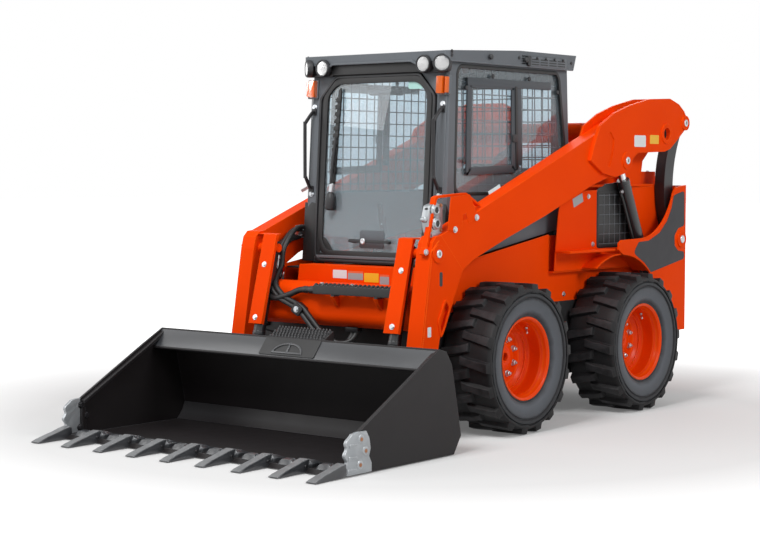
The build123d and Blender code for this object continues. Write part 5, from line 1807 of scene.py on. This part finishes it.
# ---------------------------------------------------------------- bucket
@dataclass
class BucketFittings:
    """Teeth, cast side cutters, lip step and stiffeners of the bucket."""

    arrays: Arrays
    pitch: float = 240
    count: int = 9

    def build(self) -> None:
        """Make the bucket's fittings."""
        self.teeth()
        self.cutters()
        self.stiffeners()
        self.lip_step()

    def section(self, x: float, y: float, low: float, high: float, half: float, crown: float) -> list[Point]:
        """One section across a tooth: flat below, crowned above."""
        side = low + (high - low) * 0.55
        return [(x - half, y, low), (x + half, y, low), (x + half, y, side), (x + half * crown, y, high),
                (x - half * crown, y, high), (x - half, y, side)]

    def teeth(self) -> None:
        """Forged tips pinned on welded shanks, one at each pitch."""
        tips, faces, shanks, pins = Shape(), Shape(), Shape(), Shape()
        for i in range(self.count):
            x = (i - (self.count - 1) / 2) * self.pitch
            edge = abs(x) > 900
            x -= math.copysign(9, x) if edge else 0
            rows = ((-1958, 3, 8, 31), (-1935, 3, 17, 31), (-1890, 2, 30, 28), (-1830, 3, 44, 27),
                    (-1780, 4, 58, 29), (-1742, 8, 66, 30), (-1728, 22, 62, 27))
            tips.skin([self.section(x, *row, 0.93) for row in rows])
            # Pale strips on the tips' tops: partly scoured steel, partly a painted highlight on the top
            # faces.
            faces.skin([[(x - half + 5, y, high), (x + half - 5, y, high), (x + half - 7, y, high + 2),
                         (x - half + 7, y, high + 2)] for y, _, high, half in rows[:-1]])
            half_pin = 29 if edge else 35
            pins.lathe([(-half_pin, 8), (half_pin, 8)], (x, -1762, 34), (1, 0, 0), 12)
            if not edge:
                shanks.skin([self.section(x, *row) for row in
                             ((-1752, 20, 50, 24, 0.7), (-1728, 25, 66, 36, 0.6), (-1690, 25, 58, 38, 0.7),
                              (-1650, 25, 42, 36, 0.8), (-1604, 24, 30, 30, 0.9))])
            if i < self.count - 1:
                middle = (i - (self.count - 2) / 2) * self.pitch
                shanks.skin([self.section(middle, *row) for row in
                             ((-1748, 18, 26, 40, 0.8), (-1730, 16, 48, 50, 0.6), (-1700, 20, 54, 46, 0.5),
                              (-1676, 24, 36, 40, 0.7), (-1640, 24, 30, 34, 0.9))])
        shown = tips.piece("forged_tooth_tips", WEAR_AND_SHEEN_GREY, Body.BUCKET, 2)
        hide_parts("bucket_teeth")
        faces.piece("scoured_tooth_faces", SCOURED_AND_HIGHLIT_STEEL, Body.BUCKET)
        shanks.piece("tooth_shanks", WEAR_AND_SHEEN_GREY, Body.BUCKET, 4)
        pins.piece("tooth_pins", BLACK, Body.BUCKET, 1)

    def cutters(self) -> None:
        """Cast cutters with a scalloped front edge, ribs between the bolts, and coppery bolts."""
        wave = []
        for k in range(25):
            z = 8 + k * 8
            wave.append((-1742 + 9 * math.cos(k * math.pi / 4) + max(0, z - 150) * 0.75, z))
        outline = [*wave, (-1660, 206), (-1592, 206), (-1570, 170), (-1560, 120), (-1572, 84), (-1553, 52),
                   (-1553, 8)]
        plate, ribs = Shape(), Shape()
        plate.prism(outline, SIDE, 962, 980)
        holes = ((-1640, 50), (-1600, 112), (-1632, 170))
        for z in (28, 86, 144):
            rib = [(-1736 + z * 0.12, z - 10), (-1660, z - 5), (-1660, z + 7), (-1734 + z * 0.12, z + 12)]
            ribs.prism(rounded(rib, 8), SIDE, 976, 984)
        for y, z in holes:
            ribs.lathe([(0, 23), (4, 23), (6, 19), (6, 4)], (977, y, z), (1, 0, 0), 20)
        cast = plate.both_sides().piece("cast_side_cutters", SILVER, Body.BUCKET, 3)
        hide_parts("side_cutters")
        ribs.both_sides().piece("cutter_ribs", SILVER, Body.BUCKET, 2)
        self.arrays.bolts("cutter_bolts", both(facing_left(982, *holes)), 10, 2.6, COPPER, Body.BUCKET)
        nuts = [((961, y, z), (-1, 0, 0)) for y, z in holes]
        self.arrays.bolts("cutter_nuts", both(nuts), 14, 14, BLACK, Body.BUCKET)

    def stiffeners(self) -> None:
        """Flanges inside the side plates, the lip's fold and the fillet in the floor's bend."""
        flange = Shape()
        flange.prism([(-1024, 530), (-1160, 452), (-1630, 196), (-1630, 176), (-1170, 428), (-1040, 500)],
                     SIDE, 936, 961)
        flange.prism([(-1634, 40), (-1600, 30), (-1600, 150), (-1634, 176)], SIDE, 952, 962)
        flange.both_sides().piece("bucket_side_flanges", BUCKET_BLACK, Body.BUCKET, 4)
        nose = Shape().tube([(-972, -1091, 440), (972, -1091, 440)], 9, 14)
        nose.piece("lip_fold", BUCKET_BLACK, Body.BUCKET)
        bend = Shape().prism([(-918, 19), (-900, 19), (-852, 92), (-856, 112), (-880, 60)], SIDE, -960, 960)
        bend.piece("bucket_floor_bend", BUCKET_BLACK, Body.BUCKET, 3)

    def lip_step(self) -> None:
        """The serrated step on the bucket's lip, over its half-moon opening."""
        slope = Plane((0, -1097, 443), (1, 0, 0), (0, 0.6236, 0.7817))
        low, high, middle = -166, 218, 26
        # The lip's face: its pale grey is partly a painted reflection of the light.
        face = Shape().prism(rectangle((-958, 4), (958, 114)), slope, -2, 2.5)
        face.piece("lip_face", WEAR_AND_SHEEN_GREY, Body.BUCKET, 1)
        plate = Shape().prism(slab((low, 8), (high, 118), 8), slope, 2, 8)
        plate.prism([(-1026, 528), (-1018, 536), (-932, 582), (-926, 572)], SIDE, low, high)
        for x in (low, high - 10):
            plate.prism([(-1020, 528), (-930, 578), (-930, 530)], SIDE, x, x + 10)
        plate.piece("lip_step_plate", RUBBER_AND_SHADE_BLACK, Body.BUCKET, 2)
        moon = [(middle - 105, 20), (middle + 105, 20)]
        moon += [(middle + 105 * math.cos(math.radians(a)), 20 + 66 * math.sin(math.radians(a)))
                 for a in range(15, 180, 15)]
        arc = Shape().ring(moon, 9, slope, 6, 13)
        arc.prism(rectangle((middle - 5, 20), (middle + 5, 88)), slope, 6, 13)
        arc.piece("lip_step_arc", WEAR_AND_SHEEN_GREY, Body.BUCKET, 2)
        tooth = Shape().lathe([(0, 7), (8, 7), (16, 2)], (0, 0, 0), (0, 0, 1), 6).data("tooth")
        rows = [self.arrays.in_row("grip", tooth, 17, (low + 10 + (k % 2) * 8, -1012 + k * 19, 537 + k * 10),
                                   (22, 0, 0), BLACK) for k in range(5)]
        hang("lip_step_teeth", joined("lip_step_teeth", rows), BLACK, Body.BUCKET)


# ---------------------------------------------------------------- studio
@dataclass
class Studio:
    """White floor, soft light and the camera."""

    eye: Point = (6.1915, -7.9663, 1.4261)
    azimuth: float = 38.59
    elevation: float = 3.37
    roll: float = 0.05
    focal_mm: float = 83.89
    shift: tuple[float, float] = (-0.0100, 0.0077)
    floor_half: float = 60.0
    glow_reach: tuple[float, float] = (2.2, 5.0)
    glow_low: float = 0.12
    fill: float = 0.3

    def build(self) -> None:
        """Make the floor, the lights, the world and the camera."""
        self.make_floor()
        self.make_world()
        self.add_area("key_light", (1.0, -6.0, 7.5), (0.0, -0.4, 0.8), 3.0, 560.0)
        self.add_area("side_light", (8.0, 0.0, 5.5), (0.0, 0.4, 0.9), 3.0, 300.0)
        self.add_area("left_light", (-6.0, -5.0, 4.5), (0.0, -0.4, 0.8), 4.0, 120.0)
        self.add_area("back_light", (-4.0, 7.0, 5.0), (0.0, 0.4, 1.0), 4.0, 160.0)
        self.make_camera()

    def add_area(self, name: str, place: Point, target: Point, size: float, watts: float) -> None:
        """Add one soft box.

        Args:
            name: The lamp's name.
            place: Where it stands.
            target: What it points at.
            size: Its side.
            watts: Its power.
        """
        lamp = bpy.data.lights.new(name, "AREA")
        lamp.size = size
        lamp.energy = watts
        holder = bpy.data.objects.new(name, lamp)
        bpy.context.scene.collection.objects.link(holder)
        holder.location = place
        holder.rotation_euler = (Vector(target) - Vector(place)).to_track_quat("-Z", "Y").to_euler()

    def seen_rays(self, tree: bpy.types.NodeTree) -> bpy.types.NodeSocket:
        """One for the rays that show a background: camera, mirror and glass rays.

        Args:
            tree: The material's or the world's tree.

        Returns:
            The socket that gives 0 or 1.
        """
        rays = add_node(tree, "ShaderNodeLightPath").outputs
        pair = add_node(tree, "ShaderNodeMath", {0: rays["Is Camera Ray"], 1: rays["Is Transmission Ray"]},
                        operation="MAXIMUM")
        return add_node(tree, "ShaderNodeMath", {0: pair.outputs[0], 1: rays["Is Glossy Ray"]},
                        operation="MAXIMUM").outputs[0]

    def make_floor(self) -> None:
        """A pale floor that keeps the machine's shadow and fades to pure white further out."""
        mesh = bpy.data.meshes.new("floor")
        half = self.floor_half
        mesh.from_pydata([(-half, -half, 0), (half, -half, 0), (half, half, 0), (-half, half, 0)],
                         [], [(0, 1, 2, 3)])
        floor = bpy.data.objects.new("floor", mesh)
        bpy.context.scene.collection.objects.link(floor)
        material, tree, shader, place = new_surface("floor_paint")
        reach = add_node(tree, "ShaderNodeVectorMath", {0: place}, operation="LENGTH")
        near, far = self.glow_reach
        rise = add_node(tree, "ShaderNodeMapRange", {"Value": reach.outputs["Value"], "From Min": near,
                                                     "From Max": far, "To Min": self.glow_low, "To Max": 1.0})
        glow = add_node(tree, "ShaderNodeMath", {0: self.seen_rays(tree), 1: rise.outputs[0]},
                        operation="MULTIPLY")
        wire(tree, shader, {"Base Color": linear("#CFCFCF"), "Roughness": 0.9, "Specular IOR Level": 0.0,
                            "Emission Color": (1, 1, 1, 1), "Emission Strength": glow.outputs[0]})
        mesh.materials.append(material)

    def make_world(self) -> None:
        """Even fill light, white where the background itself is seen."""
        world = bpy.data.worlds.new("studio")
        bpy.context.scene.world = world
        world.use_nodes = True
        tree = world.node_tree
        level = add_node(tree, "ShaderNodeMapRange", {"Value": self.seen_rays(tree), "To Min": self.fill,
                                                      "To Max": 1.0})
        wire(tree, tree.nodes["Background"], {"Color": (1, 1, 1, 1), "Strength": level.outputs[0]})

    def make_camera(self) -> None:
        """The camera, aimed by its azimuth and elevation."""
        data = bpy.data.cameras.new("camera")
        data.sensor_width = 36.0
        data.lens = self.focal_mm
        data.shift_x, data.shift_y = self.shift
        data.clip_end = 200.0
        camera = bpy.data.objects.new("camera", data)
        bpy.context.scene.collection.objects.link(camera)
        turn, rise = math.radians(self.azimuth), math.radians(self.elevation)
        back = Vector((math.sin(turn) * math.cos(rise), -math.cos(turn) * math.cos(rise), math.sin(rise)))
        aim = (-back).to_track_quat("-Z", "Y") @ Quaternion((0, 0, 1), math.radians(self.roll))
        camera.location = self.eye
        camera.rotation_euler = aim.to_euler()
        bpy.context.scene.camera = camera


def main() -> None:
    """Dress the machine, add its fittings and set the studio."""
    logging.basicConfig(level=logging.INFO, format="%(name)s: %(message)s")
    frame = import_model()
    bpy.context.scene.view_settings.view_transform = "Standard"
    Studio().build()
    dress_nodes(frame["nodes"])
    arrays = Arrays()
    for assembly in (Wheels(arrays), CabFront(arrays), CabSides(arrays), Interior(arrays),
                     BoomFittings(arrays), BodyFittings(arrays), BucketFittings(arrays)):
        LOG.info("building %s", type(assembly).__name__)
        assembly.build()


if __name__ == "__main__":
    main()
